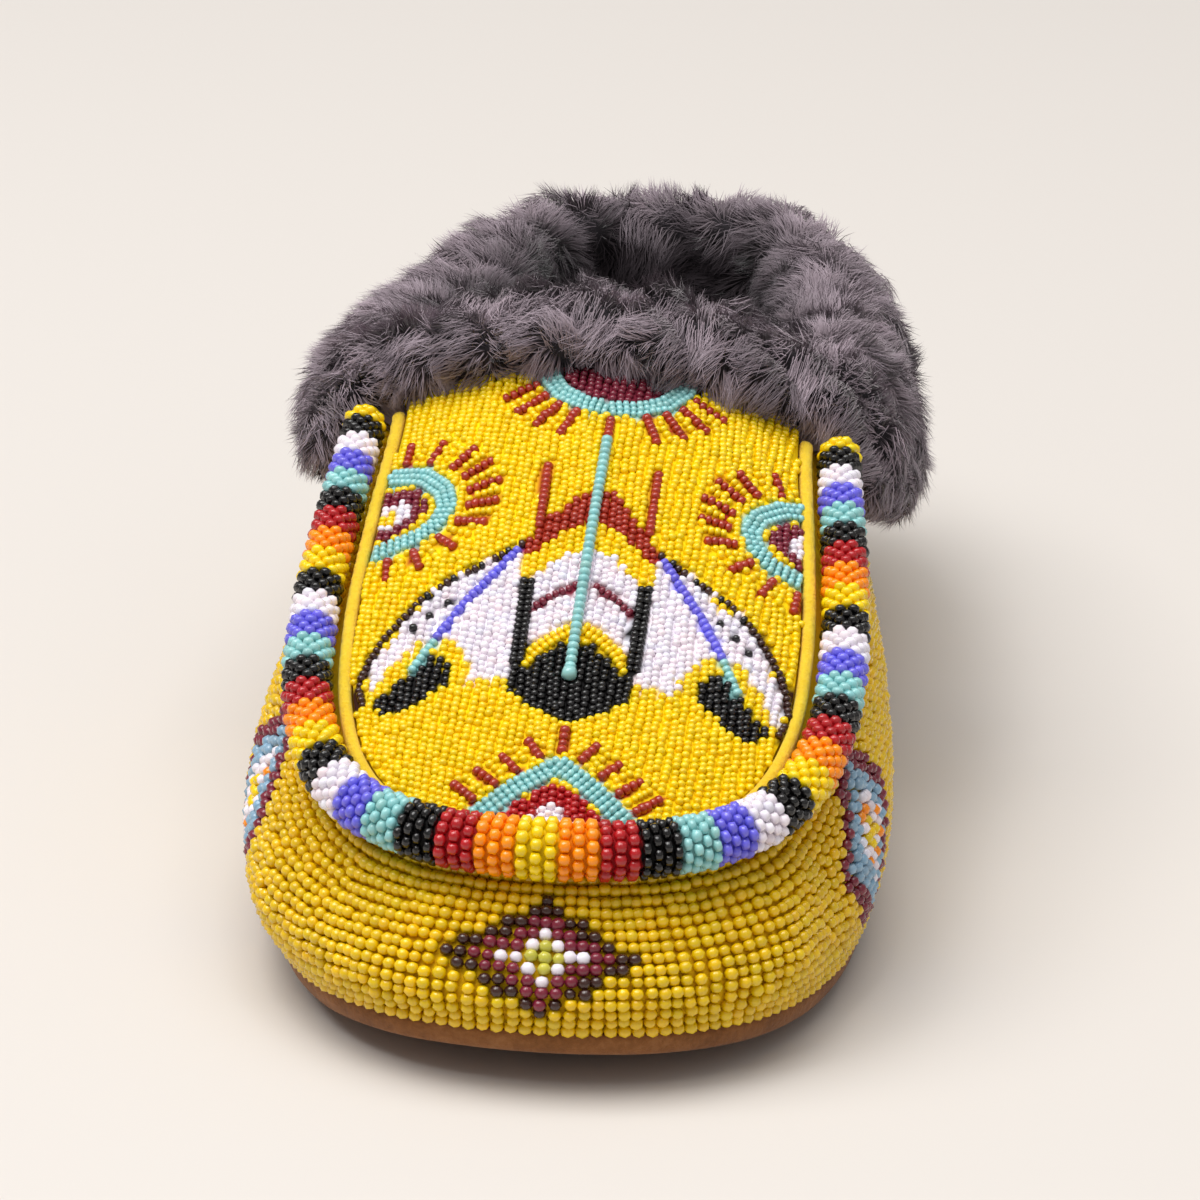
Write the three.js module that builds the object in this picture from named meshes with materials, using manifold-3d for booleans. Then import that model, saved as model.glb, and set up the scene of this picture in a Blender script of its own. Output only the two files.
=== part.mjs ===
// A beaded slipper moccasin for the right foot, in millimetres, +Z up.
// The toe points to -Y, the heel to +Y, and +X is the inner side of the foot.
// The origin lies on the floor, halfway along the sole.
import * as THREE from "three";
import { mergeVertices } from "three/addons/utils/BufferGeometryUtils.js";
import Module from "manifold-3d";

const wasm = await Module();
wasm.setup();

// Driving sizes of the sole
const soleLength = 250;
const toeTipY = -soleLength / 2;
const soleEdgeThickness = 2.6;
const edgeLift = 2.4; // the soft edge curls up this far off the floor
const toeSpring = 3.6; // more lift at the tip of the toe
const springStart = 48; // the toe leaves the floor this far behind its tip
const stitchInset = 5; // the sole seam runs this far inside the edge
const fillInset = 26; // inside this a pad is one flat sheet
const spineFront = 46; // the line down the middle of a pad keeps this far from the toe
const spineBack = 36; // and this far from the heel
const spineReach = 0.9; // a ring goes at most this share of the way to that line

// Section of the outsole from the middle of its top, round the edge and over the seam to its flat middle:
// how far inside the edge each ring lies, and its height over the flat underside
const outsoleRings = [
  { inset: fillInset, height: edgeLift + soleEdgeThickness },
  { inset: 1.2, height: edgeLift + soleEdgeThickness },
  { inset: 0, height: edgeLift + soleEdgeThickness - 0.8 },
  { inset: 0, height: edgeLift + 0.7 },
  { inset: 0.9, height: edgeLift },
  { inset: stitchInset - 0.8, height: 1.9 },
  { inset: stitchInset, height: 2.5 },
  { inset: stitchInset + 0.8, height: 1.7 },
  { inset: 10, height: 0.5 },
  { inset: 15, height: 0 },
  { inset: fillInset, height: 0 },
];

// Half widths of the sole's edge, from the toe tip to the back of the heel
const soleRows = [
  { behindToe: 0, inner: 0, outer: 0 },
  { behindToe: 1, inner: 10, outer: 10 },
  { behindToe: 4, inner: 19.4, outer: 19.4 },
  { behindToe: 12, inner: 30.4, outer: 29.4 },
  { behindToe: 24, inner: 38.4, outer: 36.6 },
  { behindToe: 40, inner: 43.6, outer: 42 },
  { behindToe: 60, inner: 46.2, outer: 45.6 },
  { behindToe: 80, inner: 45.8, outer: 46.4 },
  { behindToe: 105, inner: 43.2, outer: 45.4 },
  { behindToe: 125, inner: 40.2, outer: 43.9 },
  { behindToe: 155, inner: 36.2, outer: 41 },
  { behindToe: 180, inner: 34.6, outer: 38.4 },
  { behindToe: 205, inner: 33.6, outer: 36 },
  { behindToe: 225, inner: 31, outer: 32.6 },
  { behindToe: 238, inner: 26.4, outer: 27 },
  { behindToe: 246, inner: 19.4, outer: 19.6 },
  { behindToe: 249, inner: 10.4, outer: 10.4 },
  { behindToe: 250, inner: 0, outer: 0 },
];

// The side wall at each section: height of its rim, how far the rim leans in, and how far the belly swells
// out on the inner and on the outer side of the foot
const wallRows = [
  { behindToe: 0, rim: 31, lean: 12.6, inner: 4.6, outer: 4.6 },
  { behindToe: 12, rim: 32, lean: 9.6, inner: 4.2, outer: 5.2 },
  { behindToe: 24, rim: 34.2, lean: 7.2, inner: 3.8, outer: 5.6 },
  { behindToe: 40, rim: 39, lean: 6.8, inner: 3.8, outer: 6 },
  { behindToe: 60, rim: 46.4, lean: 8.2, inner: 4.2, outer: 6.4 },
  { behindToe: 80, rim: 54.2, lean: 9.2, inner: 4.6, outer: 6.2 },
  { behindToe: 105, rim: 63, lean: 9.2, inner: 4.8, outer: 5.4 },
  { behindToe: 125, rim: 67, lean: 6.4, inner: 4.2, outer: 4.6 },
  { behindToe: 155, rim: 63, lean: 3.4, inner: 3.6, outer: 3.8 },
  { behindToe: 190, rim: 58.4, lean: 3.2, inner: 3.6, outer: 3.8 },
  { behindToe: 225, rim: 56.8, lean: 4.8, inner: 4.2, outer: 4.2 },
  { behindToe: 250, rim: 57, lean: 6.4, inner: 4.4, outer: 4.4 },
];

// The vamp's rise along the centre line above its two seams
const vampRows = [
  { behindToe: 0, crown: 0 },
  { behindToe: 4, crown: 1.4 },
  { behindToe: 12, crown: 3 },
  { behindToe: 24, crown: 5 },
  { behindToe: 40, crown: 6.6 },
  { behindToe: 60, crown: 8.2 },
  { behindToe: 80, crown: 9.2 },
  { behindToe: 125, crown: 11 },
];

// Upper
const upperWall = 2.8; // leather with its bead layer
const bellyShare = 0.8; // below 1 the belly of the wall sits low
const throatRow = 9; // the vamp ends at the collar, in this row of the sole table
const throatDip = 9; // the throat curves towards the toe in the middle
const seatGap = 0.45; // between pieces that rest on each other
const wallSteps = 7;
const acrossSteps = 12;
const stepsPerRow = 2;

// Pieces on the vamp
const panelInset = 4.9; // from the seam to the edge of the beaded panel
const panelThickness = 1.7;
const bindingInset = 2.4;
const bindingGap = 0.4;
const bindingThickness = 2.1;
const bindingBevel = 0.6;
const panelBackRow = 8.15; // panel and binding end here, at the hem of the fur

// Rope on the vamp seam
const ropeFrontRadius = 4.9;
const ropeEndRadius = 3.7;
const ropeSides = 10;
const ropeEndRow = 8.1;
const ropeSeat = 1.4 * seatGap; // the rope stays this far off the seam

// Insole
const insoleInset = 4.4;
const insoleThickness = 3.2;

// Section of the insole, as for the outsole, over the top of the outsole
const insoleRings = [
  { inset: fillInset, height: insoleThickness },
  { inset: insoleInset + 2, height: insoleThickness },
  { inset: insoleInset + 0.4, height: insoleThickness - 1 },
  { inset: insoleInset, height: 0 },
  { inset: fillInset, height: 0 },
];

// Fur collar
const furTop = 9.5; // the pile stands this far above the rim
const furGap = 0.7; // the backing of the fur stays this far off the upper
const rimGap = 1.3; // and this far above its rim
const cornerGap = 2.1; // and this far off it at the corners of the throat
const throatSteps = 10;
const cornerTurns = [20, 45, 70]; // degrees from the seam down to the wall, round each end of the throat
const cornerReach = 6; // the fur takes its direction this far below a corner of the throat

// How far the fur hangs below the rim outside and how deep its pile is there, how far it lines the inside
// and its depth there
const furRows = [
  { behindToe: 120, inner: 15, outer: 14, pile: 9.5, lined: 5, lining: 5 },
  { behindToe: 134, inner: 20, outer: 17, pile: 12, lined: 9, lining: 5 },
  { behindToe: 160, inner: 19, outer: 18, pile: 12, lined: 15, lining: 5.6 },
  { behindToe: 200, inner: 18, outer: 18, pile: 11.5, lined: 15, lining: 5.6 },
  { behindToe: 250, inner: 18, outer: 18, pile: 11, lined: 15, lining: 5.6 },
];

// Section of the fur as shares of those sizes: down the outside from the rim, with the depth of the pile
const furOutside = [
  { down: 1, depth: 0.2 },
  { down: 0.82, depth: 0.8 },
  { down: 0.48, depth: 1 },
  { down: 0.14, depth: 0.95 },
];
const furInside = [
  { down: 0.35, depth: 1 },
  { down: 1, depth: 0.5 },
  { down: 1, depth: 0 },
  { down: 0.5, depth: 0 },
];
const furShoulder = { rise: 0.72, depth: 0.5 };
const furRidge = { rise: 1, depth: -0.3 * upperWall };
const furBrow = { rise: 0.6, depth: 0.75 };
const furBacking = [0.33, 0.66, 1];

// Locks of the fur in tiers: where a lock is rooted along the drop and in the pile, its reach, its lift off
// the upper, and where the first lock of the tier stands
const lockTiers = [
  { root: 0.46, depth: 0.7, reach: 13, lift: 0.16, first: 0 },
  { root: 0.14, depth: 0.72, reach: 13, lift: 0.3, first: 5.5 },
];
const lockPitch = 11;
const lockWidth = 5.6; // from the middle of a lock to its side
const lockDepth = 3;
const lockSway = 0.35;
const swayTurn = 2.4; // radians of sway from one lock to the next
const reachChange = 0.16; // a lock is longer or shorter by up to this share

// A lock along its length, from inside the pile to its tip
const lockStations = [
  { along: -0.1, size: 0.75 },
  { along: 0.3, size: 1 },
  { along: 0.75, size: 0.72 },
  { along: 1, size: 0.2 },
];

const finishes = {
  outsole: { color: 0x8a5f3f, roughness: 0.95 },
  insole: { color: 0x6a6468, roughness: 1 },
  upper: { color: 0xe0bd1c, roughness: 0.45 },
  vamp_panel: { color: 0xe6c51e, roughness: 0.4 },
  vamp_binding: { color: 0xd9b325, roughness: 0.8 },
  beaded_rope: { color: 0xb23a2a, roughness: 0.35 },
  fur_collar: { color: 0x7d777e, roughness: 1 },
};

// Smooth value of one column of a table at a distance behind the toe
function columnAt(rows, column, behindToe) {
  const last = rows.length - 1;
  let i = 0;
  while (i < last - 1 && behindToe > rows[i + 1].behindToe) {
    i += 1;
  }
  const slopeAt = (k) => {
    const before = rows[Math.max(k - 1, 0)];
    const after = rows[Math.min(k + 1, last)];
    return (after[column] - before[column]) / (after.behindToe - before.behindToe);
  };
  const span = rows[i + 1].behindToe - rows[i].behindToe;
  const t = THREE.MathUtils.clamp((behindToe - rows[i].behindToe) / span, 0, 1);
  const rise = rows[i + 1][column] - rows[i][column];
  const start = slopeAt(i) * span - rise;
  const end = rise - slopeAt(i + 1) * span;
  return rows[i][column] + rise * t + t * (1 - t) * (start * (1 - t) + end * t);
}

// The sole's edge as one closed curve: up the inner side to the heel, and back along the outer side
const rowCount = soleRows.length - 1;
const innerSide = soleRows.map((r) => new THREE.Vector3(r.inner, toeTipY + r.behindToe, 0));
const outerSide = soleRows.slice(1, -1).map((r) => new THREE.Vector3(-r.outer, toeTipY + r.behindToe, 0));
const edgeCurve = new THREE.CatmullRomCurve3([...innerSide, ...outerSide.reverse()], true, "centripetal");
const halfSteps = rowCount * stepsPerRow;
const ringSteps = 2 * halfSteps;

// Place on the edge curve of a row on the inner (+1) or outer (-1) side
function aroundAt(side, row) {
  const share = row / (2 * rowCount);
  return side > 0 ? share : 1 - share;
}

// Point of the sole's edge with the level direction that points away from the foot
function edgeAt(around) {
  const turn = ((around % 1) + 1) % 1;
  const point = edgeCurve.getPoint(turn);
  const tangent = edgeCurve.getTangent(turn);
  return { point, out: new THREE.Vector3(tangent.y, -tangent.x, 0).normalize() };
}

// Height of the sole's underside at its flat middle, which rises only at the toe
function springAt(behindToe) {
  const share = Math.max(0, (springStart - behindToe) / springStart);
  return toeSpring * share * share;
}

// Height of the upper's lower edge
function featherHeight(behindToe) {
  return springAt(behindToe) + edgeLift + soleEdgeThickness + seatGap;
}

// Point of the side wall's outside: share is 0 at the sole and 1 at the rim
function wallPoint(around, share) {
  const edge = edgeAt(around);
  const behindToe = edge.point.y - toeTipY;
  const foot = featherHeight(behindToe);
  const rim = columnAt(wallRows, "rim", behindToe);
  const swell = columnAt(wallRows, around < 0.5 ? "inner" : "outer", behindToe);
  const belly = swell * Math.sin(Math.PI * share ** bellyShare);
  const lean = columnAt(wallRows, "lean", behindToe) * share * share;
  const point = edge.point.addScaledVector(edge.out, belly - lean);
  return point.setZ(foot + (rim - foot) * share);
}

// Point of the vamp between its seams: row counts from the toe, across is 0 at the outer seam and 1 at the
// inner one, inset keeps both ends that far inside the seams
function vampPoint(row, across, inset = 0) {
  const ends = [-1, 1].map((side) => {
    const around = aroundAt(side, row);
    return wallPoint(around, 1).addScaledVector(edgeAt(around).out, -inset);
  });
  const seams = [-1, 1].map((side) => wallPoint(aroundAt(side, row), 1));
  const point = ends[0].clone().lerp(ends[1], across);
  const width = Math.max(seams[1].x - seams[0].x, 1e-6);
  const bow = (2 * (point.x - seams[0].x)) / width - 1;
  const arch = 1 - Math.min(bow * bow, 1);
  const behindToe = edgeAt(aroundAt(1, row)).point.y - toeTipY;
  point.z += columnAt(vampRows, "crown", behindToe) * arch;
  point.y -= throatDip * arch * (row / throatRow) ** 3;
  return point;
}

// Level inset moves a vamp point towards the throat as well, so its height is found again on the vamp itself
function onVamp(x, y) {
  let low = 0;
  let high = throatRow;
  let across = 0.5;
  for (let i = 0; i < 40; i += 1) {
    const row = (low + high) / 2;
    const outerEnd = wallPoint(aroundAt(-1, row), 1);
    const innerEnd = wallPoint(aroundAt(1, row), 1);
    across = THREE.MathUtils.clamp((x - outerEnd.x) / Math.max(innerEnd.x - outerEnd.x, 1e-6), 0, 1);
    if (vampPoint(row, across).y < y) {
      low = row;
    } else {
      high = row;
    }
  }
  return vampPoint((low + high) / 2, across);
}

// Point a given height above the vamp, square to it
function aboveVamp(x, y, height) {
  const step = 0.5;
  const slopeX = (onVamp(x + step, y).z - onVamp(x - step, y).z) / (2 * step);
  const slopeY = (onVamp(x, y + step).z - onVamp(x, y - step).z) / (2 * step);
  const normal = new THREE.Vector3(-slopeX, -slopeY, 1).normalize();
  return onVamp(x, y).addScaledVector(normal, height);
}

// Triangles given as corner points become one indexed surface without slivers
function surfaceOf(corners) {
  const positions = new Float32Array(corners.flatMap((p) => [p.x, p.y, p.z]));
  const loose = new THREE.BufferGeometry().setAttribute("position", new THREE.BufferAttribute(positions, 3));
  const merged = mergeVertices(loose, 1e-3);
  const index = merged.index.array;
  const kept = [];
  for (let i = 0; i < index.length; i += 3) {
    const [a, b, c] = [index[i], index[i + 1], index[i + 2]];
    if (a !== b && b !== c && c !== a) {
      kept.push(a, b, c);
    }
  }
  merged.setIndex(kept);
  return merged;
}

// Two triangles between neighbouring points of two lines
function addQuad(corners, a, b, c, d) {
  corners.push(a, b, c, a, c, d);
}

// Rows of points become a sheet; with closed rows the last point joins the first
function addSheet(corners, rows, closed = false) {
  for (let r = 0; r + 1 < rows.length; r += 1) {
    const count = rows[r].length;
    for (let i = 0; i < (closed ? count : count - 1); i += 1) {
      const next = (i + 1) % count;
      addQuad(corners, rows[r][i], rows[r][next], rows[r + 1][next], rows[r + 1][i]);
    }
  }
}

// Fills a ring that starts at the toe, with strips across from side to side
function addRingFill(corners, ring, facingUp) {
  const count = ring.length;
  for (let k = 0; k < count / 2; k += 1) {
    const quad = [ring[k], ring[k + 1], ring[count - k - 1], ring[(count - k) % count]];
    addQuad(corners, ...(facingUp ? quad : quad.reverse()));
  }
}

// Gives a sheet its thickness on the inner side, and closes every free edge
function shellOf(sheet, thickness) {
  sheet.computeVertexNormals();
  const normals = sheet.getAttribute("normal");
  const positions = sheet.getAttribute("position");
  const moved = (i, distance) =>
    new THREE.Vector3()
      .fromBufferAttribute(positions, i)
      .addScaledVector(new THREE.Vector3().fromBufferAttribute(normals, i), distance);
  const index = sheet.index.array;
  const edgeUse = new Map();
  const corners = [];
  for (let i = 0; i < index.length; i += 3) {
    const face = [index[i], index[i + 1], index[i + 2]];
    corners.push(...face.map((v) => moved(v, 0)));
    corners.push(...face.toReversed().map((v) => moved(v, -thickness)));
    face.forEach((v, k) => {
      const w = face[(k + 1) % 3];
      const key = Math.min(v, w) + ":" + Math.max(v, w);
      edgeUse.set(key, edgeUse.has(key) ? null : [v, w]);
    });
  }
  for (const edge of edgeUse.values()) {
    if (edge) {
      const [v, w] = edge;
      addQuad(corners, moved(w, 0), moved(v, 0), moved(v, -thickness), moved(w, -thickness));
    }
  }
  return surfaceOf(corners);
}

// Sections of equal point counts become one closed tube
function sweepOf(sections) {
  const corners = [];
  addSheet(corners, sections, true);
  const first = sections[0];
  const last = sections[sections.length - 1];
  for (let i = 1; i + 1 < first.length; i += 1) {
    corners.push(first[0], first[i + 1], first[i]);
    corners.push(last[0], last[i], last[i + 1]);
  }
  return surfaceOf(corners);
}

function solidOf(surface) {
  const vertProperties = new Float32Array(surface.getAttribute("position").array);
  const triVerts = new Uint32Array(surface.index.array);
  const solid = new wasm.Manifold(new wasm.Mesh({ numProp: 3, vertProperties, triVerts }));
  return solid;
}

function geometryOf(solid) {
  const made = solid.getMesh();
  const geometry = new THREE.BufferGeometry();
  geometry.setAttribute("position", new THREE.BufferAttribute(new Float32Array(made.vertProperties), 3));
  geometry.setIndex(new THREE.BufferAttribute(new Uint32Array(made.triVerts), 1));
  return geometry;
}

// Point of the sole's edge moved in towards the line down the middle of the foot
function insetPoint(around, inset) {
  const edge = edgeAt(around);
  const spineY = THREE.MathUtils.clamp(edge.point.y, toeTipY + spineFront, -toeTipY - spineBack);
  const toSpine = new THREE.Vector3(0, spineY, 0).sub(edge.point);
  const reach = toSpine.length();
  return edge.point.addScaledVector(toSpine, Math.min(inset, reach * spineReach) / reach);
}

// A closed pad from a table of rings, raised over the floor and with the toe's spring
function padGeometry(table, raised) {
  const rings = table.map(({ inset, height }) =>
    Array.from({ length: ringSteps }, (_, i) => {
      const point = insetPoint(i / ringSteps, inset);
      return point.setZ(raised + springAt(point.y - toeTipY) + height);
    }),
  );
  const corners = [];
  addSheet(corners, rings.toReversed(), true);
  addRingFill(corners, rings[0], true);
  addRingFill(corners, rings[rings.length - 1], false);
  return surfaceOf(corners);
}

const throatStep = Math.round(throatRow * stepsPerRow);

// Outside of the whole upper: the side wall all round, and the vamp from the toe to the throat
function upperSheet() {
  const corners = [];
  const wallRing = (share) =>
    Array.from({ length: ringSteps }, (_, i) => wallPoint(i / ringSteps, share));
  const rings = Array.from({ length: wallSteps + 1 }, (_, k) => wallRing(k / wallSteps));
  addSheet(corners, rings, true);
  const rowAt = (step) =>
    Array.from({ length: acrossSteps + 1 }, (_, k) => vampPoint(step / stepsPerRow, k / acrossSteps));
  const rows = Array.from({ length: throatStep + 1 }, (_, step) => rowAt(step));
  rows[0] = rows[0].map(() => rings[wallSteps][0]);
  rows.forEach((row, step) => {
    row[acrossSteps] = rings[wallSteps][step];
    row[0] = rings[wallSteps][(ringSteps - step) % ringSteps];
  });
  addSheet(corners, rows);
  return surfaceOf(corners);
}

function upperGeometry() {
  return shellOf(upperSheet(), upperWall);
}

// Beaded panel in the middle of the vamp
function panelGeometry() {
  const high = seatGap + panelThickness;
  const steps = Math.round(panelBackRow * stepsPerRow);
  const sheetAt = (height) =>
    Array.from({ length: steps + 1 }, (_, step) => {
      const row = (panelBackRow * step) / steps;
      return Array.from({ length: acrossSteps + 1 }, (_unused, k) => {
        const plan = vampPoint(row, k / acrossSteps, panelInset);
        return aboveVamp(plan.x, plan.y, height);
      });
    });
  const top = sheetAt(high);
  const bottom = sheetAt(seatGap);
  const corners = [];
  addSheet(corners, top);
  addSheet(corners, bottom.map((row) => row.toReversed()));
  const rim = (rows) => [
    ...rows.map((row) => row[acrossSteps]),
    ...rows[steps].toReversed().slice(1, -1),
    ...rows.map((row) => row[0]).toReversed(),
  ];
  addSheet(corners, [rim(bottom), rim(top)], true);
  return surfaceOf(corners);
}

// Places along the U of the vamp seam, from the outer end round the toe to the inner end
function seamPlaces(endRow) {
  const steps = Math.round(endRow * stepsPerRow);
  return Array.from({ length: 2 * steps + 1 }, (_, i) => {
    const row = (endRow * (i - steps)) / steps;
    return { side: row < 0 ? -1 : 1, row: Math.abs(row), share: Math.abs(i - steps) / steps };
  });
}

// Smooth binding between the beaded panel and the rope
function bindingGeometry() {
  const high = seatGap + bindingThickness;
  const sections = seamPlaces(panelBackRow).map(({ side, row }) => {
    const around = aroundAt(side, row);
    const at = (inset, height) => {
      const plan = wallPoint(around, 1).addScaledVector(edgeAt(around).out, -inset);
      return aboveVamp(plan.x, plan.y, height);
    };
    const innerInset = panelInset - bindingGap;
    const middleInset = (bindingInset + innerInset) / 2;
    return [
      at(innerInset, seatGap),
      at(innerInset, high - bindingBevel),
      at(middleInset, high),
      at(bindingInset, high - bindingBevel),
      at(bindingInset, seatGap),
    ];
  });
  return sweepOf(sections);
}

// Beaded rope that covers the vamp seam, thinner towards its two ends
function ropeGeometry() {
  const places = seamPlaces(ropeEndRow);
  const middles = places.map(({ side, row, share }) => {
    const around = aroundAt(side, row);
    const radius = THREE.MathUtils.lerp(ropeFrontRadius, ropeEndRadius, share);
    const outward = edgeAt(around).out.setZ(1).normalize();
    return wallPoint(around, 1).addScaledVector(outward, radius + ropeSeat);
  });
  const path = new THREE.CatmullRomCurve3(middles);
  const sections = places.map(({ share }, i) => {
    const along = path.getTangent(i / (places.length - 1));
    const up = new THREE.Vector3(0, 0, 1).addScaledVector(along, -along.z).normalize();
    const beside = new THREE.Vector3().crossVectors(along, up);
    const radius = THREE.MathUtils.lerp(ropeFrontRadius, ropeEndRadius, share);
    return Array.from({ length: ropeSides }, (_, k) => {
      const angle = (2 * Math.PI * k) / ropeSides;
      return middles[i]
        .clone()
        .addScaledVector(up, radius * Math.cos(angle))
        .addScaledVector(beside, radius * Math.sin(angle));
    });
  });
  return sweepOf(sections);
}

// Places round the collar, from the outer end of the throat across the vamp, down the inner side to the
// heel and back along the outer side; each gives the point of the upper a distance below the rim
function collarPlaces() {
  const rowSpan = soleRows[throatRow].behindToe - soleRows[throatRow - 1].behindToe;
  const throat = furRows[0];
  const onVampAt = (across) => ({
    drop: THREE.MathUtils.lerp(throat.outer, throat.inner, across),
    pile: throat.pile,
    lined: throat.lined,
    lining: throat.lining,
    corner: across === 0 || across === 1,
    at: (below) => vampPoint(throatRow - below / rowSpan, across),
  });
  const onWallAt = (side, row, turn = 90) => {
    const station = edgeAt(aroundAt(side, row)).point.y - toeTipY;
    const height = columnAt(wallRows, "rim", station) - featherHeight(station);
    const along = Math.cos(THREE.MathUtils.degToRad(turn)) / rowSpan;
    const down = Math.sin(THREE.MathUtils.degToRad(turn)) / height;
    return {
      drop: columnAt(furRows, side > 0 ? "inner" : "outer", station),
      pile: columnAt(furRows, "pile", station),
      lined: columnAt(furRows, "lined", station),
      lining: columnAt(furRows, "lining", station),
      corner: turn < 90,
      at: (below) => wallPoint(aroundAt(side, row - along * below), 1 - down * below),
    };
  };
  const acrossPlaces = Array.from({ length: throatSteps + 1 }, (_, k) => onVampAt(k / throatSteps));
  const backRows = [];
  for (let step = throatStep + 1; step < halfSteps; step += 1) {
    backRows.push(step / stepsPerRow);
  }
  const fan = (side) => cornerTurns.map((turn) => onWallAt(side, throatRow, turn));
  const places = [
    ...acrossPlaces,
    ...fan(1),
    ...backRows.map((row) => onWallAt(1, row)),
    onWallAt(1, rowCount),
    ...backRows.map((row) => onWallAt(-1, row)).toReversed(),
    ...fan(-1).toReversed(),
  ];
  const bend = Math.ceil(cornerTurns.length / 2);
  const innerBend = throatSteps + bend;
  const outerBend = places.length - bend;
  return places.map((place, i) => {
    const nearBend = i > 0 && i < places.length / 2 ? innerBend : outerBend;
    return { ...place, inside: place.corner ? nearBend : i };
  });
}

// How far below the rim the collar's directions are taken, a little lower at a corner of the throat
function directionDepth({ corner }, below) {
  return corner ? Math.max(below, cornerReach) : below;
}

// The way round the collar at a place, from the place before it to the next
function alongCollar(places, i, below) {
  const count = places.length;
  const from = directionDepth(places[i], below);
  return places[(i + 1) % count].at(from).sub(places[(i + count - 1) % count].at(from));
}

// The direction off the upper at a place of the collar, square to the fall of the fur
function offUpper(places, i, below) {
  const from = directionDepth(places[i], below);
  const fall = places[i].at(from + 1).sub(places[i].at(Math.max(from - 1, 0)));
  return fall.cross(alongCollar(places, i, below)).normalize();
}

// Point off the upper at a place of the collar, a distance below the rim
function besideUpper(places, i, below, distance) {
  return places[i].at(below).addScaledVector(offUpper(places, i, below), distance);
}

// Point over the rim at a place of the collar, moved level off the upper
function overRim(places, i, rise, distance) {
  const level = alongCollar(places, i, 0).cross(new THREE.Vector3(0, 0, 1)).normalize();
  return places[i].at(0).addScaledVector(level, distance).add(new THREE.Vector3(0, 0, rise * furTop));
}

// One section of the fur: from its hem outside over the rim to its edge inside, and back along the upper.
// Round a corner of the throat the outside fans out, and the inside stays in one place
function furSection(places, i) {
  const { drop, pile, inside, corner } = places[i];
  const { lined, lining, at } = places[inside];
  const inner = -upperWall - furGap;
  const clear = at(0).sub(at(1)).setLength(corner ? cornerGap : rimGap);
  const outside = (down, distance) => besideUpper(places, i, down * drop, distance);
  return [
    ...furOutside.map(({ down, depth }) => outside(down, depth * pile)),
    overRim(places, i, furShoulder.rise, furShoulder.depth * pile),
    overRim(places, inside, furRidge.rise, furRidge.depth),
    overRim(places, inside, furBrow.rise, inner - furBrow.depth * lining),
    ...furInside.map(({ down, depth }) => besideUpper(places, inside, down * lined, inner - depth * lining)),
    besideUpper(places, inside, 0, inner).add(clear),
    besideUpper(places, inside, 0, furGap).add(clear),
    ...furBacking.map((down) => outside(down, furGap)),
  ];
}

// A lock of fur: four-sided, laid along the fall and drawn to a tip
function lockSolid(root, fall, off, reach, lift, sway) {
  const beside = new THREE.Vector3().crossVectors(fall, off).normalize();
  const lean = fall.clone().addScaledVector(off, lift).addScaledVector(beside, sway).normalize();
  const sections = lockStations.map(({ along, size }) => {
    const middle = root.clone().addScaledVector(lean, along * reach);
    return [
      middle.clone().addScaledVector(beside, lockWidth * size),
      middle.clone().addScaledVector(off, -lockDepth * size),
      middle.clone().addScaledVector(beside, -lockWidth * size),
      middle.clone().addScaledVector(off, lockDepth * size),
    ];
  });
  return solidOf(sweepOf(sections));
}

// Where the locks of a tier stand round the collar: the place before each and the share of the way to the next
function lockSpots(places, first) {
  const spots = [];
  let next = first;
  let walked = 0;
  places.forEach((place, i) => {
    const after = places[(i + 1) % places.length];
    const length = place.at(0).distanceTo(after.at(0));
    while (next < walked + length) {
      spots.push({ i, share: (next - walked) / length, clear: !place.corner && !after.corner });
      next += lockPitch;
    }
    walked += length;
  });
  return spots;
}

// Fur collar: a folded cuff round the opening, with locks fused on except beside the ends of the rope
function furGeometry() {
  const places = collarPlaces();
  const sections = places.map((_, i) => furSection(places, i));
  const corners = [];
  addSheet(corners, [...sections, sections[0]].toReversed(), true);
  let fur = solidOf(surfaceOf(corners));
  lockTiers.forEach((tier) => {
    lockSpots(places, tier.first).forEach(({ i, share, clear }, k) => {
      const j = (i + 1) % places.length;
      const below = tier.root * THREE.MathUtils.lerp(places[i].drop, places[j].drop, share);
      const pile = THREE.MathUtils.lerp(places[i].pile, places[j].pile, share);
      const at = (distance) => places[i].at(distance).lerp(places[j].at(distance), share);
      const off = offUpper(places, i, below).lerp(offUpper(places, j, below), share).normalize();
      const fall = at(below + 1).sub(at(below)).normalize();
      const root = at(below).addScaledVector(off, tier.depth * pile);
      const turn = swayTurn * k + tier.first;
      const reach = tier.reach * (1 + reachChange * Math.cos(turn));
      if (clear) {
        fur = fur.add(lockSolid(root, fall, off, reach, tier.lift, lockSway * Math.sin(turn)));
      }
    });
  });
  return geometryOf(fur);
}

const group = new THREE.Group();

function addPiece(name, geometry) {
  const piece = new THREE.Mesh(geometry, new THREE.MeshStandardMaterial({ ...finishes[name], metalness: 0 }));
  piece.name = name;
  group.add(piece);
}

addPiece("outsole", padGeometry(outsoleRings, 0));
addPiece("insole", padGeometry(insoleRings, edgeLift + soleEdgeThickness + seatGap));
addPiece("upper", upperGeometry());
addPiece("vamp_panel", panelGeometry());
addPiece("vamp_binding", bindingGeometry());
addPiece("beaded_rope", ropeGeometry());
addPiece("fur_collar", furGeometry());

export default group;
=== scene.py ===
import math

import bpy
import numpy as np
from mathutils import Matrix, Vector


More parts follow.
